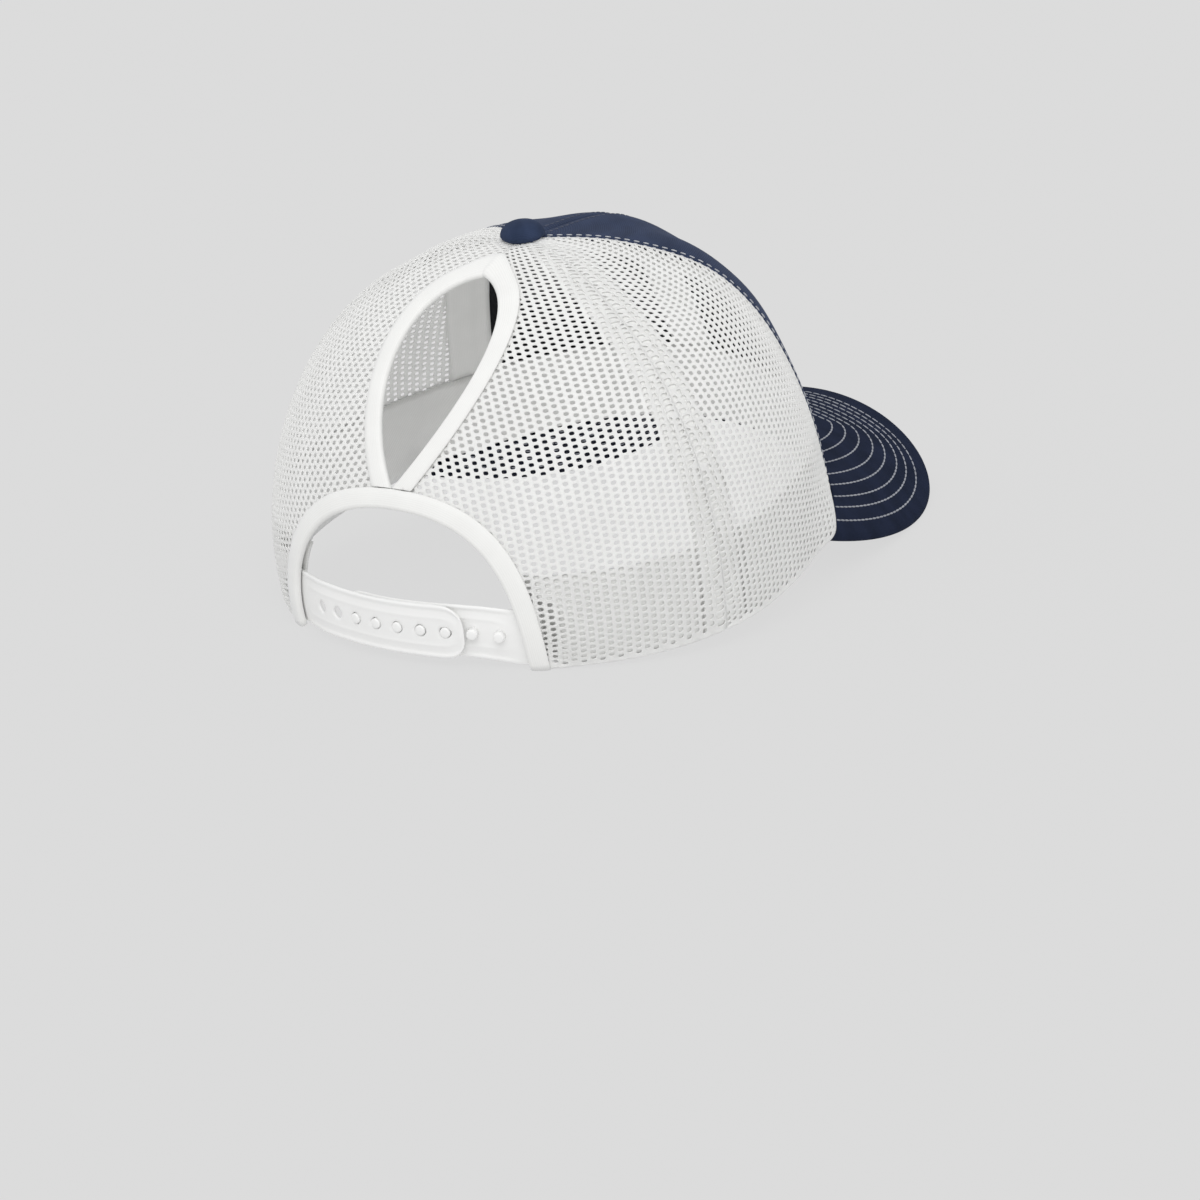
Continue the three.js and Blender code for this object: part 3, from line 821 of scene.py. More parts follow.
@dataclass
class NetPanel:
    """One knitted net panel: columns of round holes, each column half a hole above the next."""

    name: str
    side: Side
    start: Seam
    end: Seam
    openings: Sequence[Opening] = ()
    grain: float = 0.5
    hem: float = 1.5
    column: float = 2.85
    pitch: float = 2.1
    hole_half_width: float = 0.82
    hole_half_height: float = 0.66
    wall: float = 0.4
    depth: float = 0.12
    margin: float = -0.15
    seam_dip: float = 0.4
    opening_gap: float = 3.1
    inset: float = 0.3
    whole_share: float = 0.62
    edge_share: float = 0.2
    top_radius: float = 5.5
    gather_pitch: float = 2.6
    gather_size: float = 0.28
    gather_reach: tuple[float, float] = (8, 22)
    gather_height: tuple[float, float] = (22, 34)

    def thread_line(self, climb: Array) -> Array:
        """Angle of the line that the columns of holes run along."""
        return mix(self.start(climb), self.end(climb), self.grain)

    def tables(self) -> tuple[Array, ...]:
        """Climbs with the cloth length, girth and the two edges' places beside the thread line."""
        climbs = np.linspace(0, QUARTER, 241)
        line = self.thread_line(climbs)
        lengths = walked(FORM.point(line, climbs))
        girths = FORM.girth(line, climbs)
        low = (self.start(climbs) - line) * girths + self.margin
        high = (self.end(climbs) - line) * girths - self.margin
        return climbs, lengths, girths, low, high

    def build(self, finishes: Finishes) -> Piece:
        """Knits the net and lays it on the crown."""
        climbs, lengths, girths, low, high = self.tables()
        top = float(np.interp(FORM.climb_at_radius(self.thread_line(QUARTER), self.top_radius),
                              climbs, lengths))
        columns = 2 * math.ceil(max(high.max(), -low.min()) / self.column)
        rows = math.ceil(top / self.pitch)
        bm, u, v = flat_grid(columns, 2 * rows)
        across, up = (u - 0.5) * columns * self.column, v * rows * self.pitch
        for vert, s, h in zip(bm.verts, across, up):
            vert.co = (s, h, 0)
        self.stagger(bm, columns)
        self.trim(bm, top)
        self.punch(bm)
        flat = np.array([vert.co[:2] for vert in bm.verts])
        climb = np.interp(flat[:, 1], lengths, climbs)
        angle = self.thread_line(climb) + flat[:, 0] / np.interp(climb, climbs, girths)
        beside = self.from_edge(flat)
        dip = self.seam_dip * seam_valley(beside) * smoothstep(flat[:, 1], 0, 6)
        depth = self.depth + dip + self.ribs(angle, climb)
        points = FORM.inside(self.side.value * angle, climb, depth)
        lay(bm, points)
        piece = finish_mesh(bm, f"{self.name}_mesh_{self.side.word}", [finishes.net])
        round_off(piece)
        thicken(piece, self.wall)
        return settle(piece, Slot.NET, f"{self.name}_{self.side.word}")

    def from_edge(self, flat: Array) -> Array:
        """Distance of places on the flat net from its nearer seam."""
        _, lengths, _, low, high = self.tables()
        return np.minimum(flat[:, 0] - np.interp(flat[:, 1], lengths, low),
                          np.interp(flat[:, 1], lengths, high) - flat[:, 0])

    def ribs(self, angle: Array, climb: Array) -> Array:
        """Small gathers in the net over the strap's sewn end, beside the arch's foot."""
        if not self.openings:
            return np.zeros_like(angle)
        across, height = BACK.chart(angle, climb)
        gap = self.openings[0].beyond(self.side.value * across, height)
        near = (1 - smoothstep(gap, *self.gather_reach)) * (1 - smoothstep(height, *self.gather_height))
        return self.gather_size * np.cos(2 * math.pi * gap / self.gather_pitch) * near

    def stagger(self, bm: BMesh, columns: int) -> None:
        """Joins half cells into whole ones, one step higher in every second column."""
        crossing = []
        for edge in bm.edges:
            first, second = edge.verts
            if abs(first.co.y - second.co.y) > 1e-4 or edge.is_boundary:
                continue
            column = round(min(first.co.x, second.co.x) / self.column + columns / 2)
            row = round(first.co.y / (self.pitch / 2))
            if (row + column) % 2 == 1:
                crossing.append(edge)
        bmesh.ops.dissolve_edges(bm, edges=crossing, use_verts=False)

    def trim(self, bm: BMesh, top: float) -> None:
        """Cuts the net at its seams, at its openings and under the button."""
        climbs, lengths, girths, low, high = self.tables()
        centres = np.array([face.calc_center_median()[:2] for face in bm.faces])
        kept = (self.from_edge(centres) > self.edge_share * self.column) & (centres[:, 1] < top)
        if self.openings:
            climb = np.interp(centres[:, 1], lengths, climbs)
            girth = np.interp(climb, climbs, girths)
            across, height = BACK.chart(self.thread_line(climb) + centres[:, 0] / girth, climb)
            for opening in self.openings:
                kept &= opening.beyond(self.side.value * across, height) > self.opening_gap
        bmesh.ops.delete(bm, geom=[face for face, keep in zip(bm.faces[:], kept) if not keep],
                         context="FACES")
        for vert in bm.verts:
            if not vert.is_boundary:
                continue
            start = float(np.interp(vert.co.y, lengths, low))
            end = float(np.interp(vert.co.y, lengths, high))
            if vert.co.x < start + self.column:
                vert.co.x = start
            elif vert.co.x > end - self.column:
                vert.co.x = end
        bmesh.ops.remove_doubles(bm, verts=bm.verts[:], dist=0.05)

    def punch(self, bm: BMesh) -> None:
        """Opens a rounded hole in each whole cell."""
        whole = self.whole_share * self.column * self.pitch
        cells = [face for face in bm.faces
                 if face.calc_area() > whole and face.calc_center_median().y > self.hem]
        bmesh.ops.inset_individual(bm, faces=cells, thickness=self.inset, use_even_offset=True)
        wide = self.hole_half_width / (self.column / 2 - self.inset)
        tall = self.hole_half_height / (self.pitch / 2 - self.inset)
        for face in cells:
            centre = face.calc_center_median()
            for vert in face.verts:
                vert.co.x = centre.x + (vert.co.x - centre.x) * wide
                vert.co.y = centre.y + (vert.co.y - centre.y) * tall
        bmesh.ops.delete(bm, geom=cells, context="FACES")


@dataclass
class Nets:
    """The four net panels."""

    def build(self, finishes: Finishes) -> None:
        """Builds each panel as a sheet."""
        for side in Side:
            flank = NetPanel("side_net", side, FORM.front_seam, FORM.rear_seam).build(finishes)
            rear = NetPanel("rear_net", side, FORM.rear_seam, FORM.back_middle,
                            openings=(ARCH, TEARDROP), grain=0.27).build(finishes)


# Tapes, band and bindings


@dataclass
class SeamTapes:
    """White tapes over the seams inside the crown."""

    half_width: float = 8.0
    spread: float = 0.42
    start: float = 1.2
    top_radius: float = 11.0
    wall: float = 0.5
    cloth_depth: float = 1.55
    net_depth: float = 0.62

    def build(self, finishes: Finishes) -> None:
        """Builds the five tapes."""
        self.tape("seam_tape_front", Side.RIGHT, FORM.front_middle, self.cloth_depth, finishes)
        for side in Side:
            self.tape(f"seam_tape_front_side_{side.word}", side, FORM.front_seam, self.cloth_depth,
                      finishes)
            self.tape(f"seam_tape_side_rear_{side.word}", side, FORM.rear_seam, self.net_depth, finishes)

    def tape(self, node: str, side: Side, seam: Seam, depth: float,
             finishes: Finishes) -> None:
        """One tape, narrowing towards the button."""
        bm, u, v = flat_grid(8, 60)
        foot = float(FORM.climb_at(np.array([float(seam(0.0))]), np.array([self.start]))[0])
        climb = mix(foot, float(FORM.climb_at_radius(seam(QUARTER), self.top_radius)), v)
        middle = seam(climb)
        reach = FORM.girth(middle, climb)
        half = np.minimum(self.half_width, reach * self.spread - 0.3)
        aside = (2 * u - 1) * half
        angle = middle + aside / reach
        points = FORM.inside(side.value * angle, climb, depth + seam_valley(aside) * smoothstep(v, 0, 0.05))
        lay(bm, points, np.stack([aside, 150 * v], axis=-1))
        sew_sheet(bm, f"{node}_cloth", [finishes.tape], self.wall, Slot.TAPE, node,
                  flat=(2 * self.half_width * MM, 0.150), area=0.0020, rests_on=["front_panel_right"])


@dataclass
class Sweatband:
    """White band inside the rim, from one foot of the arch round the front to the other."""

    height: float = 30.5
    start: float = 0.8
    end_inset: float = 1.5
    front_depth: float = 2.3
    net_depth: float = 0.64
    tape_depth: float = 1.2
    tab_depth: float = 3.4
    wall: float = 1.0
    foot: float = 46.0
    front_ease: tuple[float, float] = (8.3, 12.0)
    rear_ease: tuple[float, float] = (8.2, 10.5)
    binding_ease: tuple[float, float] = (6.5, 8.5)
    tab_ease: tuple[float, float] = (7.6, 10.0)
    tab_height: tuple[float, float] = (19.8, 22.0)
    turns: int = 180
    levels: int = 16

    def build(self, finishes: Finishes) -> None:
        """Builds the band as a sheet."""
        bm, u, v = flat_grid(220, 12)
        height = mix(self.start, self.height, v)
        climb = np.interp(height, *BACK.table())
        half = np.array([self.arch_half(h) for h in height]) + self.end_inset
        end = math.pi - half / BACK.girth(climb)
        angle = mix(-end, end, u)
        climb = self.climbs(angle, height)
        points = FORM.inside(angle, climb, self.depth(angle, climb, height))
        lay(bm, points, np.stack([angle * 88, height], axis=-1))
        sew_sheet(bm, "sweatband_cloth", [finishes.band], self.wall, Slot.BAND, "sweatband",
                  flat=(0.490, 0.0305), rests_on=["front_panel_right"])

    def depth(self, angle: Array, climb: Array, height: Array) -> Array:
        """Depth of the band's outer face, close to the net but inside tapes, binding and strap ends."""
        side, angle = np.where(angle < 0, -1, 1), np.abs(angle)
        reach = FORM.girth(angle, climb)
        past_front = (angle - FORM.front_seam(climb)) * reach
        past_rear = np.abs(angle - FORM.rear_seam(climb)) * reach
        from_foot = (math.pi - angle) * FORM.girth(math.pi, 0.0) - self.foot
        from_arch = ARCH.beyond(side * BACK.chart(angle, climb)[0], height)
        depth = mix(self.front_depth, self.net_depth, smoothstep(past_front, *self.front_ease))
        over_tape = mix(self.tape_depth, self.net_depth, smoothstep(past_rear, *self.rear_ease))
        depth = np.maximum(depth, over_tape)
        bound = 1 - smoothstep(from_arch, *self.binding_ease)
        over_tab = 1 - smoothstep(from_foot, *self.tab_ease)
        over_tab = over_tab * (1 - smoothstep(height, *self.tab_height))
        return mix(depth, self.tab_depth, np.maximum(bound, over_tab))

    def arch_half(self, height: float) -> float:
        """Half width of the arch at a height."""
        right = ARCH.outline[: len(ARCH.outline) // 2 + 1]
        return float(np.interp(height, right[:, 1], right[:, 0]))

    def climbs(self, angle: Array, height: Array) -> Array:
        """Climbs at lengths up from the rim, read from a table of angles."""
        table = np.linspace(-math.pi, math.pi, self.turns + 1)
        lengths = np.linspace(0, self.height + 2, self.levels + 1)
        known = np.array([FORM.climb_at(np.full_like(lengths, a), lengths) for a in table])
        column = (angle + math.pi) / (2 * math.pi) * self.turns
        low = np.clip(column.astype(int), 0, self.turns - 1)
        share = column - low
        row = height / lengths[1]
        floor = np.clip(row.astype(int), 0, self.levels - 1)
        part = row - floor
        first = mix(known[low, floor], known[low, floor + 1], part)
        second = mix(known[low + 1, floor], known[low + 1, floor + 1], part)
        return mix(first, second, share)


@dataclass
class Binding:
    """Folded tape round an opening: an outer ply, the fold and an inner ply."""

    node: str
    opening: Opening
    width: float = 6.3
    ply: float = 0.75
    outer_depth: float = -0.2
    inner_depth: float = 0.85
    closed_tip: bool = False
    mitre: float = 4.5
    pleat: float = 0.45
    tip_share: float = 0.05
    tip_steps: int = 12

    def section(self) -> Array:
        """Closed section of the folded tape, as distances out from the opening and depths."""
        top, low = self.outer_depth - self.ply, self.inner_depth + self.ply
        radius = (low - top) / 2
        turn = np.linspace(-QUARTER, QUARTER, 9)
        fold = np.stack([radius * (1 - np.cos(turn)), (top + low) / 2 + radius * np.sin(turn)], axis=-1)
        outer = [(self.width - 0.15, top + 0.1), (4.6, top - 0.08), (2.8, top - 0.05)]
        inner = [(2.8, low), (4.6, low), (self.width - 0.15, low - 0.1)]
        slot = [(self.width, low - self.ply), (3.0, self.inner_depth), (1.3, 0.7), (1.1, 0.3), (1.3, -0.1),
                (3.0, self.outer_depth), (self.width, top + self.ply), (self.width + 0.1, top + 0.4)]
        return np.array(outer + fold.tolist() + inner + slot)

    def build(self, finishes: Finishes) -> None:
        """Sweeps the section along the opening."""
        section = self.section()
        outline, outward = self.opening.outline, self.opening.outward()
        bm, u, v = flat_grid(len(outline) - 1, len(section))
        step = np.rint(u * (len(outline) - 1)).astype(int)
        corner = np.rint(v * len(section)).astype(int) % len(section)
        place = outline[step] + outward[step] * section[corner, 0:1]
        lift = self.shape_tips(place, step, section[corner, 0]) if self.closed_tip else 0.0
        points = BACK.point(place[:, 0], place[:, 1], section[corner, 1] - lift)
        points[:, 2] = np.maximum(points[:, 2], 0)
        lengths = walked(outline)
        lay(bm, points, np.stack([section[corner, 0] + 3 * section[corner, 1], lengths[step]], axis=-1))
        bmesh.ops.remove_doubles(bm, verts=bm.verts[:], dist=1e-6)
        bmesh.ops.holes_fill(bm, edges=[edge for edge in bm.edges if edge.is_boundary], sides=0)
        bmesh.ops.recalc_face_normals(bm, faces=bm.faces[:])
        piece = finish_mesh(bm, f"{self.node}_cloth", [finishes.tape])
        settle(piece, Slot.TAPE, self.node)

    def shape_tips(self, place: Array, step: Array, out: Array) -> Array:
        """Draws out the upper tip, closes the lower one over the arch and lifts a pleat.

        Args:
            place: Places across and up, changed in place.
            step: Step of each place along the outline.
            out: Distance of each place out from the opening.

        Returns:
            Lift of each place out of the crown.
        """
        last = len(self.opening.outline) - 1
        near_top = np.exp(-((step / last - 0.5) / self.tip_share) ** 2)
        place[:, 1] += self.mitre * np.clip(out / self.width, 0, 1) * near_top
        across = place[:, 0]
        lift = self.pleat * smoothstep(across, -0.6, 0.6) * near_top * smoothstep(-across, -5, -1)
        place[:, 1] = np.maximum(place[:, 1], self.arch_edge(across))
        tip = np.minimum(step, last - step) < self.tip_steps
        sign = np.where(step < (last + 1) / 2, 1, -1)
        place[:, 0] = np.where(tip, sign * np.maximum(sign * across, 0.1), across)
        return lift

    def arch_edge(self, across: Array) -> Array:
        """Height of the arch binding's outer edge at places across the back."""
        edge = ARCH.grown(self.width + 0.3)
        return np.interp(across, edge[::-1, 0], edge[::-1, 1])


# Button


@dataclass
class Button:
    """Cloth-covered button, tilted with the top of the crown."""

    radius: float = 7.25
    height: float = 6.0
    edge: float = 0.3
    crest: float = 0.3
    pleats: int = 9
    pleat_size: float = 0.07
    turns: int = 48

    def build(self, finishes: Finishes) -> None:
        """Spins the covered dome and pleats its rim."""
        front = FORM.point(0.0, FORM.climb_at_radius(0.0, self.radius))
        behind = FORM.point(math.pi, FORM.climb_at_radius(math.pi, self.radius))
        slope = (front[2] - behind[2]) / (behind[1] - front[1])
        top = self.height - self.crest
        outline = [(self.radius - 3.0, -1.8), (self.radius - 1.5, -0.4), (self.radius - 0.45, self.edge)]
        outline += [(self.radius * math.cos(t) ** 0.9, mix(self.edge + 0.9, top, math.sin(t)))
                    for t in np.linspace(0.0, QUARTER, 14)[:-1]]
        bm = bmesh.new()
        profile = [bm.verts.new((reach, 0, rise)) for reach, rise in outline + [(0, top)]]
        edges = [bm.edges.new(pair) for pair in zip(profile[:-1], profile[1:])]
        bmesh.ops.spin(bm, geom=profile + edges, cent=(0, 0, 0), axis=(0, 0, 1), angle=2 * math.pi,
                       steps=self.turns, use_merge=True)
        bmesh.ops.remove_doubles(bm, verts=bm.verts[:], dist=1e-4)
        bmesh.ops.holes_fill(bm, edges=[e for e in bm.edges if e.is_boundary], sides=0)
        flat = np.array([vert.co[:] for vert in bm.verts])
        around = np.arctan2(flat[:, 1], flat[:, 0])
        reach = np.hypot(flat[:, 0], flat[:, 1])
        cloth = unit(flat[:, :2]) * np.hypot(reach, self.height - flat[:, 2])[:, None]
        pleat = self.pleat_size * np.sin(self.pleats * around) * smoothstep(reach, 5.5, 7.2)
        flat[:, :2] *= (1 + pleat / np.maximum(reach, 1))[:, None]
        tilt = math.atan(slope)
        turned = np.stack([flat[:, 0], flat[:, 1] * math.cos(tilt) + flat[:, 2] * math.sin(tilt),
                           flat[:, 2] * math.cos(tilt) - flat[:, 1] * math.sin(tilt)], axis=-1)
        points = turned + np.array([0, FORM.top_behind, FORM.height])
        lay(bm, points, cloth, away=(0, FORM.top_behind, FORM.height))
        piece = finish_mesh(bm, "button_cloth", [finishes.button])
        settle(piece, Slot.NAVY, "button")


# Visor


@dataclass
class Visor:
    """Curved visor: cloth over a board, with rows of stitches along its edge."""

    corner_deg: float = 68.0
    length: float = 65.6
    tip_height: float = 26.2
    side_pull: float = 130.0
    side_turn_deg: float = -5.0
    tip_pull: float = 50.0
    half_wall: float = 1.55
    clearance: float = 0.3
    # Distance of each row of stitches from the outer edge, at the sides and at the front
    side_rows: tuple[float, ...] = (3.6, 6.9, 10.0, 14.0, 18.2, 23.2, 28.2, 33.0)
    front_rows: tuple[float, ...] = (10.2, 13.8, 17.4, 21.3, 25.2, 29.0, 32.6, 36.2)
    steps: int = 240
    rows: int = 34
    curl: int = 8
    cloth_wall: float = 0.9

    def __post_init__(self) -> None:
        """Settles the sides' dip so that the visor just touches the table."""
        self.corner = FORM.rim(np.array(-math.radians(self.corner_deg)))
        self.side_height = 0.0
        for _ in range(12):
            self.set_edge()
            xs = np.linspace(0, self.corner[0], 61)
            edge = self.edge_at(xs)
            low = self.on_board(edge[:, 0], edge[:, 1], np.full(61, -0.5 * self.half_wall))[:, 2].min()
            self.side_height -= 2 * low
        self.set_edge()

    def set_edge(self) -> None:
        """Works out the outer edge from the right corner of a viewer to the tip."""
        turn = math.radians(self.side_turn_deg)
        tip = np.array([0, -(FORM.rim_front + self.length), self.tip_height])
        side = self.corner + np.array([math.sin(turn), -math.cos(turn), 0]) * self.side_pull
        side[2] = self.side_height
        pulled = tip + np.array([self.tip_pull, 0, 0])
        t = np.linspace(0, 1, 1201)[:, None]
        self.edge = ((1 - t) ** 3 * self.corner + 3 * (1 - t) ** 2 * t * side
                     + 3 * (1 - t) * t ** 2 * pulled + t ** 3 * tip)

    def edge_at(self, x: Array) -> Array:
        """Points of the outer edge at places across."""
        found = read_points(np.abs(x), self.edge[::-1, 0], self.edge[::-1, 1:])
        return np.concatenate([np.asarray(x)[:, None], found], axis=-1)

    def rim_at(self, x: Array) -> Array:
        """Points of the crown's rim at places across."""
        turn = np.arcsin(np.clip(np.abs(x) / FORM.rim_side, 0, 1) ** (FORM.rim_squareness / 2))
        rim = FORM.rim(-turn)
        return np.stack([x, rim[..., 1] - self.clearance, rim[..., 2]], axis=-1)

    def board(self, x: Array, y: Array) -> Array:
        """Points in the middle of the board's thickness over places in plan."""
        held = np.clip(x, -self.corner[0] + 0.4, self.corner[0] - 0.4)
        rim, edge = self.rim_at(held), self.edge_at(held)
        share = (y - rim[:, 1]) / np.minimum(edge[:, 1] - rim[:, 1], -0.5)
        return np.stack([x, y, mix(rim[:, 2], edge[:, 2], np.clip(share, -0.2, 1.1))], axis=-1)

    def up(self, x: Array, y: Array) -> Array:
        """Unit directions up out of the board, eased at its corners."""
        step = 0.4
        x = np.clip(x, -self.corner[0] + 4, self.corner[0] - 4)
        nearest = self.edge_at(x)[:, 1] + 1
        y = np.clip(y, nearest, np.maximum(self.rim_at(x)[:, 1] - 1, nearest))
        across = self.board(x + step, y) - self.board(x - step, y)
        ahead = self.board(x, y + step) - self.board(x, y - step)
        return unit(np.cross(across, ahead))

    def on_board(self, x: Array, y: Array, height: Array) -> Array:
        """Points at heights over the middle of the board."""
        return self.board(x, y) + self.up(x, y) * np.asarray(height)[:, None]

    def outline(self) -> tuple[Array, Array]:
        """The whole outer edge in plan, evenly spaced, with its directions inwards."""
        right = self.edge[:, :2]
        both = np.concatenate([right, (right * np.array([-1, 1]))[::-1][1:]])
        lengths = walked(both)
        places = np.linspace(0, lengths[-1], 4 * self.steps + 1)
        plan = read_points(places, lengths, both)
        along = unit(np.gradient(plan, axis=0))
        return plan, np.stack([-along[:, 1], along[:, 0]], axis=-1) * -1

    def build(self, finishes: Finishes) -> None:
        """Builds the two cloths and the stitching."""
        for top in (True, False):
            self.cloth(top, finishes)
        self.stitch(finishes)

    def cloth(self, top: bool, finishes: Finishes) -> None:
        """One cloth from the rim over half of the rounded edge."""
        plan, inwards = self.outline()
        plan, inwards = plan[::4], inwards[::4]
        bm, u, v = flat_grid(len(plan) - 1, self.rows)
        column = np.rint(u * (len(plan) - 1)).astype(int)
        sign = 1 if top else -1
        row = np.rint(v * self.rows).astype(int)
        turn = np.minimum(row, self.curl) / self.curl * QUARTER
        inset = self.half_wall * (1 - np.cos(turn))
        height = sign * self.half_wall * np.sin(turn)
        rolled = plan[column] + inwards[column] * inset[:, None]
        rim_x = self.matched_rim(plan)[column]
        rim = self.rim_at(rim_x)[:, :2]
        onward = np.clip((row - self.curl) / (self.rows - self.curl), 0, 1)[:, None]
        places = mix(rolled, rim, onward)
        limit = self.rim_at(places[:, 0])[:, 1]
        places[:, 1] = np.minimum(places[:, 1], limit)
        points = self.on_board(places[:, 0], places[:, 1], height)
        lay(bm, points, places, away=(0, -120, -900 * sign))
        bmesh.ops.remove_doubles(bm, verts=bm.verts[:], dist=1e-6)
        node = "visor_top" if top else "visor_underside"
        sew_sheet(bm, f"{node}_cloth", [finishes.visor if top else finishes.shaded_undervisor], self.cloth_wall,
                  Slot.NAVY, node, flat=(0.215, 0.125), area=0.0150, rests_on=["front_panel_right"])

    def matched_rim(self, plan: Array) -> Array:
        """Places across on the rim for each place along the outer edge, by shares of length."""
        xs = np.linspace(self.corner[0], -self.corner[0], 801)
        lengths = walked(self.rim_at(xs)[:, :2])
        share = walked(plan)
        return np.interp(share / share[-1], lengths / lengths[-1], xs)

    def rows_inside(self, height: float) -> list[Line]:
        """Stitch rows inside the outer edge, further in at the front than at the sides."""
        plan, inwards = self.outline()
        lines = []
        ahead = smoothstep(-np.abs(plan[:, 0]), -84, -24)
        for side, front in zip(self.side_rows, self.front_rows):
            distance = mix(side, front, ahead)
            moved = plan + inwards * distance[:, None]
            gaps = np.linalg.norm(moved[:, None] - plan[None, ::4], axis=-1).min(axis=1)
            kept = (gaps > distance - 0.9) & (moved[:, 1] < self.rim_at(moved[:, 0])[:, 1] - 0.8)
            kept &= np.abs(moved[:, 0]) < self.corner[0] - 1
            run = moved[kept]
            if len(run) < 8:
                continue
            points = self.on_board(run[:, 0], run[:, 1], np.full(len(run), height))
            normals = self.up(run[:, 0], run[:, 1]) * math.copysign(1, height)
            lines.append(Line(points, normals))
        return lines

    def stitch(self, finishes: Finishes) -> None:
        """Sews the rows through the board."""
        thread = Stitching(length=3.0, pitch=3.3, width=0.72, proud=0.25)
        thread.sew("visor_stitch_rows_top", self.rows_inside(self.half_wall), finishes.grey_thread,
                   Slot.NAVY)
        thread.sew("visor_stitch_rows_underside", self.rows_inside(-self.half_wall),
                   finishes.grey_thread, Slot.NAVY)


# Snap strap


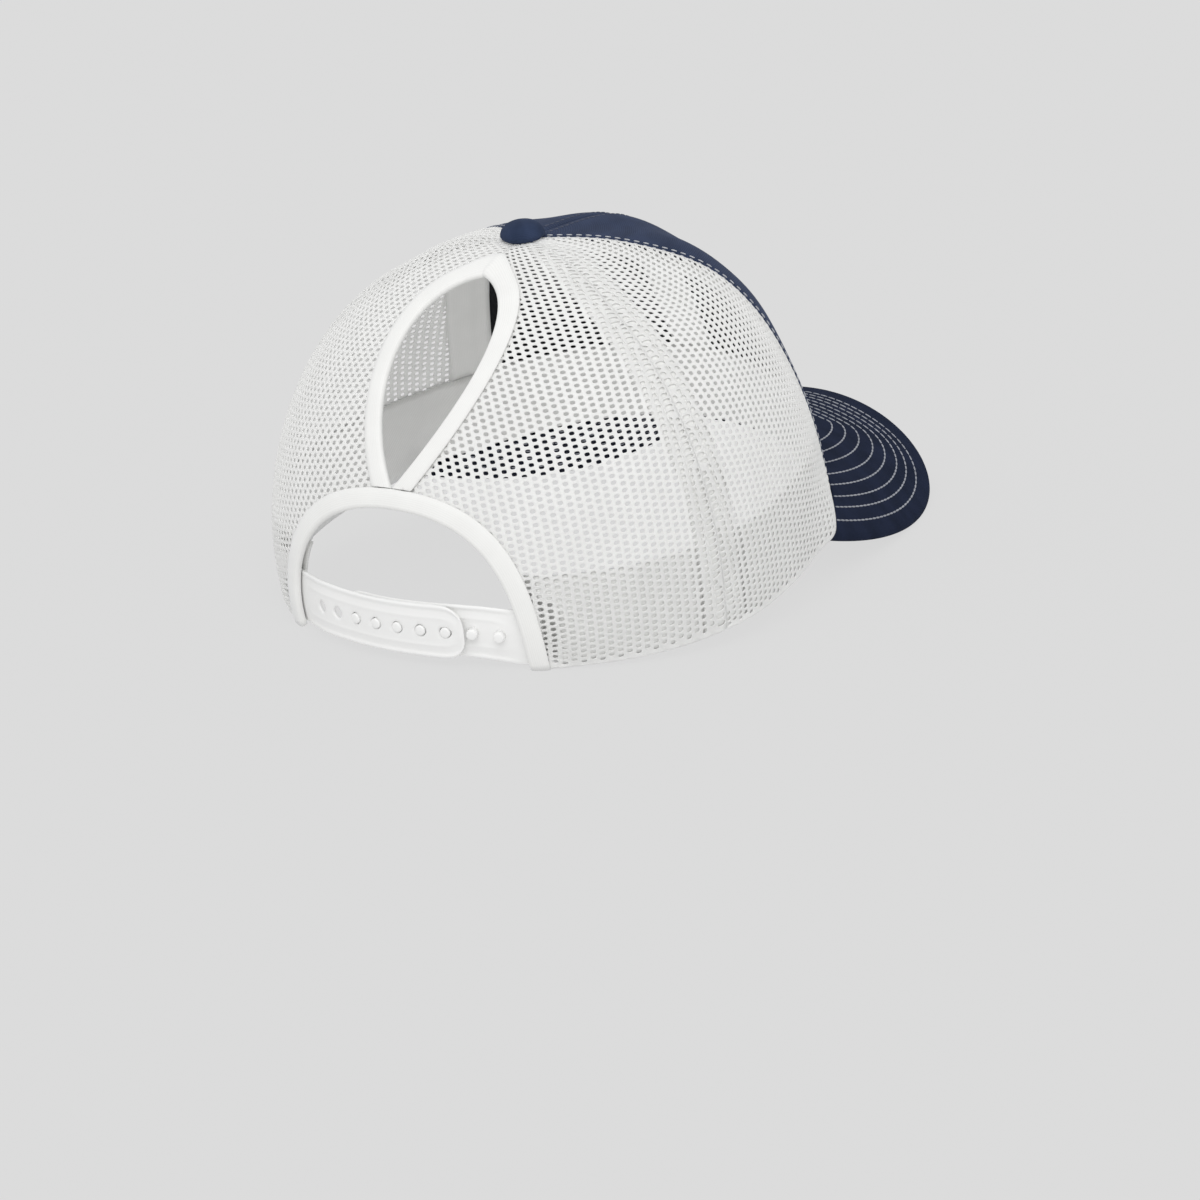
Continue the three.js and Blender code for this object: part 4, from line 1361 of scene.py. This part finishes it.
@dataclass
class Strap:
    """One plastic tape of the snap strap, built flat and bent round the back."""

    node: str
    sign: int
    end: float
    rest_depth: float
    first: float
    has_holes: bool
    start: float = 53.0
    width: float = 18.0
    lift: float = 0.6
    wall: float = 1.1
    corner: float = 7.5
    tab: float = 7.0
    settle_length: float = 20.0
    hidden_depth: float = 2.0
    pitch: float = 8.6
    count: int = 7
    hole_radius: float = 1.95
    peg_radius: float = 1.8
    bead: float = 0.5
    ridge: float = 0.25
    ridge_half_width: float = 4.6
    # Distances from the strap's middle line at which its surface bends
    marks: tuple[float, ...] = (0.72, 2.15, 3.3, 4.1, 4.6, 5.1, 6.3, 7.0, 7.4, 7.8, 8.3, 8.75, 9.0)

    def depth(self, along: Array) -> Array:
        """Depth below the crown's face, which eases from the sewn end to the run across the opening."""
        return mix(self.hidden_depth, self.rest_depth, smoothstep(along - self.tab, 0, self.settle_length))

    def relief(self, along: Array, line: Array) -> Array:
        """Height of the beaded edges and of the oblong ridge round the row of snaps."""
        half, length = self.width / 2, self.start + self.end
        past = np.maximum(along - (length - self.corner), 0)
        rim = np.minimum(half - np.abs(line), np.where(past > 0, length - along, 99.0))
        bead = self.bead * np.exp(-((rim - 0.85) / 0.62) ** 2)
        gap = np.hypot(along - np.clip(along, self.tab + 8, length - 6.4), line)
        oblong = self.ridge * np.exp(-((gap - self.ridge_half_width) / 0.5) ** 2)
        return (bead + oblong) * smoothstep(along, self.tab, 2 * self.tab)

    def arched(self, across: Array) -> Array:
        """Lift of the strap, which bows up between the arch's feet."""
        return 2.3 - 2.8 * np.clip(np.abs(across + 1) / 45, 0, 1) ** 4

    def bent(self, along: Array, line: Array, below: Array) -> Array:
        """Points of the strap from its flat place and the depth below its face."""
        length, half = self.start + self.end, self.width / 2
        into = np.clip(along - (length - self.corner), 0, self.corner)
        shrink = (half - self.corner + np.sqrt(self.corner ** 2 - into ** 2)) / half
        across = self.sign * (self.start - along)
        return BACK.point(across, self.lift + half + self.arched(across) + line * shrink,
                          self.depth(along) + below)

    def build(self, finishes: Finishes) -> None:
        """Cuts the flat strap, bends it, and adds its pegs."""
        length = self.start + self.end
        cell = self.pitch / 6
        snaps = self.start - self.sign * self.first - self.sign * np.arange(self.count) * self.pitch
        phase = (snaps[0] - cell / 2) % cell
        marks = np.arange(phase, length - self.corner, cell)
        turn = np.linspace(0, QUARTER, 7)[1:]
        marks = np.concatenate([[0.0], marks, length - self.corner + self.corner * np.sin(turn)])
        lines = np.concatenate([-np.array(self.marks[::-1]), self.marks])
        bm, u, v = flat_grid(len(marks) - 1, len(lines) - 1)
        along = marks[np.rint(u * (len(marks) - 1)).astype(int)]
        line = lines[np.rint(v * (len(lines) - 1)).astype(int)]
        for vert, a, b in zip(bm.verts, along, line):
            vert.co = (a, b, 0)
        if self.has_holes:
            self.drill(bm, snaps)
        flat = np.array([vert.co[:2] for vert in bm.verts])
        points = self.bent(flat[:, 0], flat[:, 1], -self.relief(flat[:, 0], flat[:, 1]))
        lay(bm, points)
        piece = finish_mesh(bm, f"{self.node}_band", [finishes.plastic])
        thicken(piece, self.wall)
        round_off(piece)
        settle(piece, Slot.PLASTIC, self.node)
        if not self.has_holes:
            self.pegs(snaps, finishes)

    def drill(self, bm: BMesh, snaps: Array) -> None:
        """Opens the round holes in the flat strap."""
        gone, rims = [], []
        for middle in snaps:
            near = [face for face in bm.faces
                    if (face.calc_center_median() - Vector((middle, 0, 0))).length < self.hole_radius]
            gone.extend(near)
            rims.append((middle, {vert for face in near for vert in face.verts}))
        bmesh.ops.delete(bm, geom=gone, context="FACES")
        for middle, verts in rims:
            for vert in verts:
                if not vert.is_valid:
                    continue
                arm = vert.co - Vector((middle, 0, 0))
                vert.co = Vector((middle, 0, 0)) + arm.normalized() * self.hole_radius

    def pegs(self, snaps: Array, finishes: Finishes) -> None:
        """Stands a round peg at each snap."""
        bm = bmesh.new()
        for middle in snaps:
            foot = self.bent(np.array([middle]), np.array([0.0]), np.array([0.3]))[0]
            across = np.array([self.sign * (self.start - middle)])
            head = BACK.point(across, self.lift + self.width / 2 + self.arched(across), np.array([-0.2]))[0]
            axis = Vector(head - foot)
            turn = Vector((0, 0, 1)).rotation_difference(axis.normalized()).to_matrix().to_4x4()
            place = Matrix.Translation(Vector(to_frame((head + foot) / 2))) @ turn @ Matrix.Scale(MM, 4)
            made = bmesh.ops.create_cone(bm, cap_ends=True, segments=20, radius1=self.peg_radius,
                                         radius2=self.peg_radius * 0.94, depth=axis.length, matrix=place)
            head_edges = {edge for vert in made["verts"] for edge in vert.link_edges
                          if all((v.co - Vector(to_frame(head))).length < 2.2 * MM for v in edge.verts)}
            bmesh.ops.bevel(bm, geom=list(head_edges), offset=0.5 * MM, segments=3, profile=0.5,
                            affect="EDGES", material=-1)
        piece = finish_mesh(bm, "strap_pegs", [finishes.plastic])
        settle(piece, Slot.PLASTIC)


# Stitches on the crown


@dataclass
class CrownStitching:
    """Topstitches beside the seams of the crown."""

    def seam_row(self, side: Side, seam: Seam, aside: float, depth: float, radius: float) -> Line:
        """A line beside a seam, from the rim to the button."""
        top = float(FORM.climb_at_radius(seam(QUARTER), radius))
        climb = np.linspace(0.04, top, 160)
        middle = seam(climb)
        angle = middle + aside / FORM.girth(middle, climb)
        return crown_line(side.value * angle, climb, depth)

    def build(self, finishes: Finishes) -> None:
        """Sews the rows beside each seam."""
        # Thread, slot and stitches of each piece, then seam, place aside, depth and top radius of its rows
        pieces = {
            "front_seam_topstitch": (finishes.pale_thread, Slot.NAVY, Stitching(2.0, 3.1, 0.6, 0.25),
                                     [(FORM.front_seam, -1.9, 0.0, 7.6)]),
            "front_seam_edge_stitch": (finishes.pale_thread, Slot.NAVY, Stitching(1.2, 3.1, 0.5, 0.2),
                                       [(FORM.front_seam, -0.35, 0.3, 7.6)]),
            "net_seam_topstitch": (finishes.white_thread, Slot.NET, Stitching(2.0, 2.9, 0.45, 0.18),
                                   [(FORM.rear_seam, -4.0, 0.1, 9.0), (FORM.rear_seam, 4.0, 0.1, 9.0),
                                    (FORM.front_seam, 4.0, 0.1, 9.0)]),
            "front_middle_topstitch": (finishes.navy_thread, Slot.NAVY, Stitching(2.4, 2.9, 0.55, 0.22),
                                       [(FORM.front_middle, 3.0, 0.0, 9.0)])}
        for name, (thread, slot, stitching, rows) in pieces.items():
            lines = [self.seam_row(side, *row) for side in Side for row in rows]
            stitching.sew(name, lines, thread, slot)


# Studio


@dataclass(frozen=True)
class Studio:
    """Pale floor, even light and the photograph's camera."""

    azimuth_deg: float = 215.959
    elevation_deg: float = 18.077
    roll_deg: float = -2.549
    distance: float = 1181.942
    aim_right: float = 17.082
    aim_up: float = -5.919
    lens: float = 107.16
    glow: float = 0.655
    air: float = 0.70
    key: float = 1.05

    def camera(self) -> None:
        """Places the camera from the angles that match the photograph."""
        azimuth, elevation, roll = (math.radians(a) for a in
                                    (self.azimuth_deg, self.elevation_deg, self.roll_deg))
        back = np.array([math.sin(azimuth) * math.cos(elevation),
                         -math.cos(azimuth) * math.cos(elevation), math.sin(elevation)])
        right = np.array([math.cos(azimuth), math.sin(azimuth), 0])
        up = np.cross(back, right)
        across = right * math.cos(roll) + up * math.sin(roll)
        upright = up * math.cos(roll) - right * math.sin(roll)
        aim = right * self.aim_right + np.array([0, 0, self.aim_up])
        place = to_frame(aim + back * self.distance)
        data = bpy.data.cameras.new("studio_camera")
        data.lens, data.sensor_width = self.lens, 36
        data.clip_start, data.clip_end = 0.05, 50
        camera = bpy.data.objects.new("studio_camera", data)
        turn = Matrix((across, upright, back)).transposed().to_4x4()
        camera.matrix_world = Matrix.Translation(Vector(place)) @ turn
        bpy.context.scene.collection.objects.link(camera)
        bpy.context.scene.camera = camera

    def floor(self) -> None:
        """Lays a wide pale floor."""
        bm = bmesh.new()
        bmesh.ops.create_grid(bm, x_segments=1, y_segments=1, size=9)
        # Backlit opal acrylic of a light table: even and pale, with only a breath of shadow
        material, tree, output = new_material("backlit_opal_acrylic", "#dcdcdc")
        place = add_node(tree, "ShaderNodeTexCoord").outputs["Object"]
        grain = add_node(tree, "ShaderNodeTexNoise", {"Scale": 30.0, "Detail": 2.0}, {"Vector": place})
        colour = add_node(tree, "ShaderNodeMix",
                          {"data_type": "RGBA", "A": linear("#464646"), "B": linear("#474747")},
                          {"Factor": grain.outputs["Fac"]})
        shader = add_node(tree, "ShaderNodeBsdfPrincipled",
                          {"Roughness": 1.0, "Specular IOR Level": 0.0, "Emission Strength": self.glow},
                          {"Base Color": colour.outputs["Result"]})
        tree.links.new(shader.outputs["BSDF"], output.inputs["Surface"])
        floor = finish_mesh(bm, "studio_floor", [material])

    def lights(self) -> None:
        """Lights the cap from all round and more from above."""
        world = bpy.data.worlds.new("studio_air")
        world.use_nodes = True
        world.node_tree.nodes["Background"].inputs["Color"].default_value = linear("#ffffff")
        world.node_tree.nodes["Background"].inputs["Strength"].default_value = self.air
        bpy.context.scene.world = world
        data = bpy.data.lights.new("overhead_light", "SUN")
        data.energy, data.angle = self.key, math.radians(50)
        sun = bpy.data.objects.new("overhead_light", data)
        sun.rotation_euler = Vector((-0.45, 0.7, 1.0)).to_track_quat("Z", "Y").to_euler()
        bpy.context.scene.collection.objects.link(sun)
        bpy.context.scene.view_settings.view_transform = "Standard"

    def build(self) -> None:
        """Sets up the studio."""
        self.camera()
        self.floor()
        self.lights()


def main() -> None:
    """Builds the cap piece by piece in its studio."""
    logging.basicConfig(level=logging.INFO, format="%(name)s %(message)s")
    Studio().build()
    finishes = Finishes()
    FrontPanels().build(finishes)
    Nets().build(finishes)
    SeamTapes().build(finishes)
    Sweatband().build(finishes)
    Binding("arch_binding", ARCH).build(finishes)
    Binding("teardrop_binding", TEARDROP, closed_tip=True).build(finishes)
    Button().build(finishes)
    Visor().build(finishes)
    Strap("strap_with_holes", -1, 28.4, 0.2, -29.6, True).build(finishes)
    Strap("strap_with_pegs", 1, 18.8, 2.4, -12.4, False).build(finishes)
    CrownStitching().build(finishes)


if __name__ == "__main__":
    main()
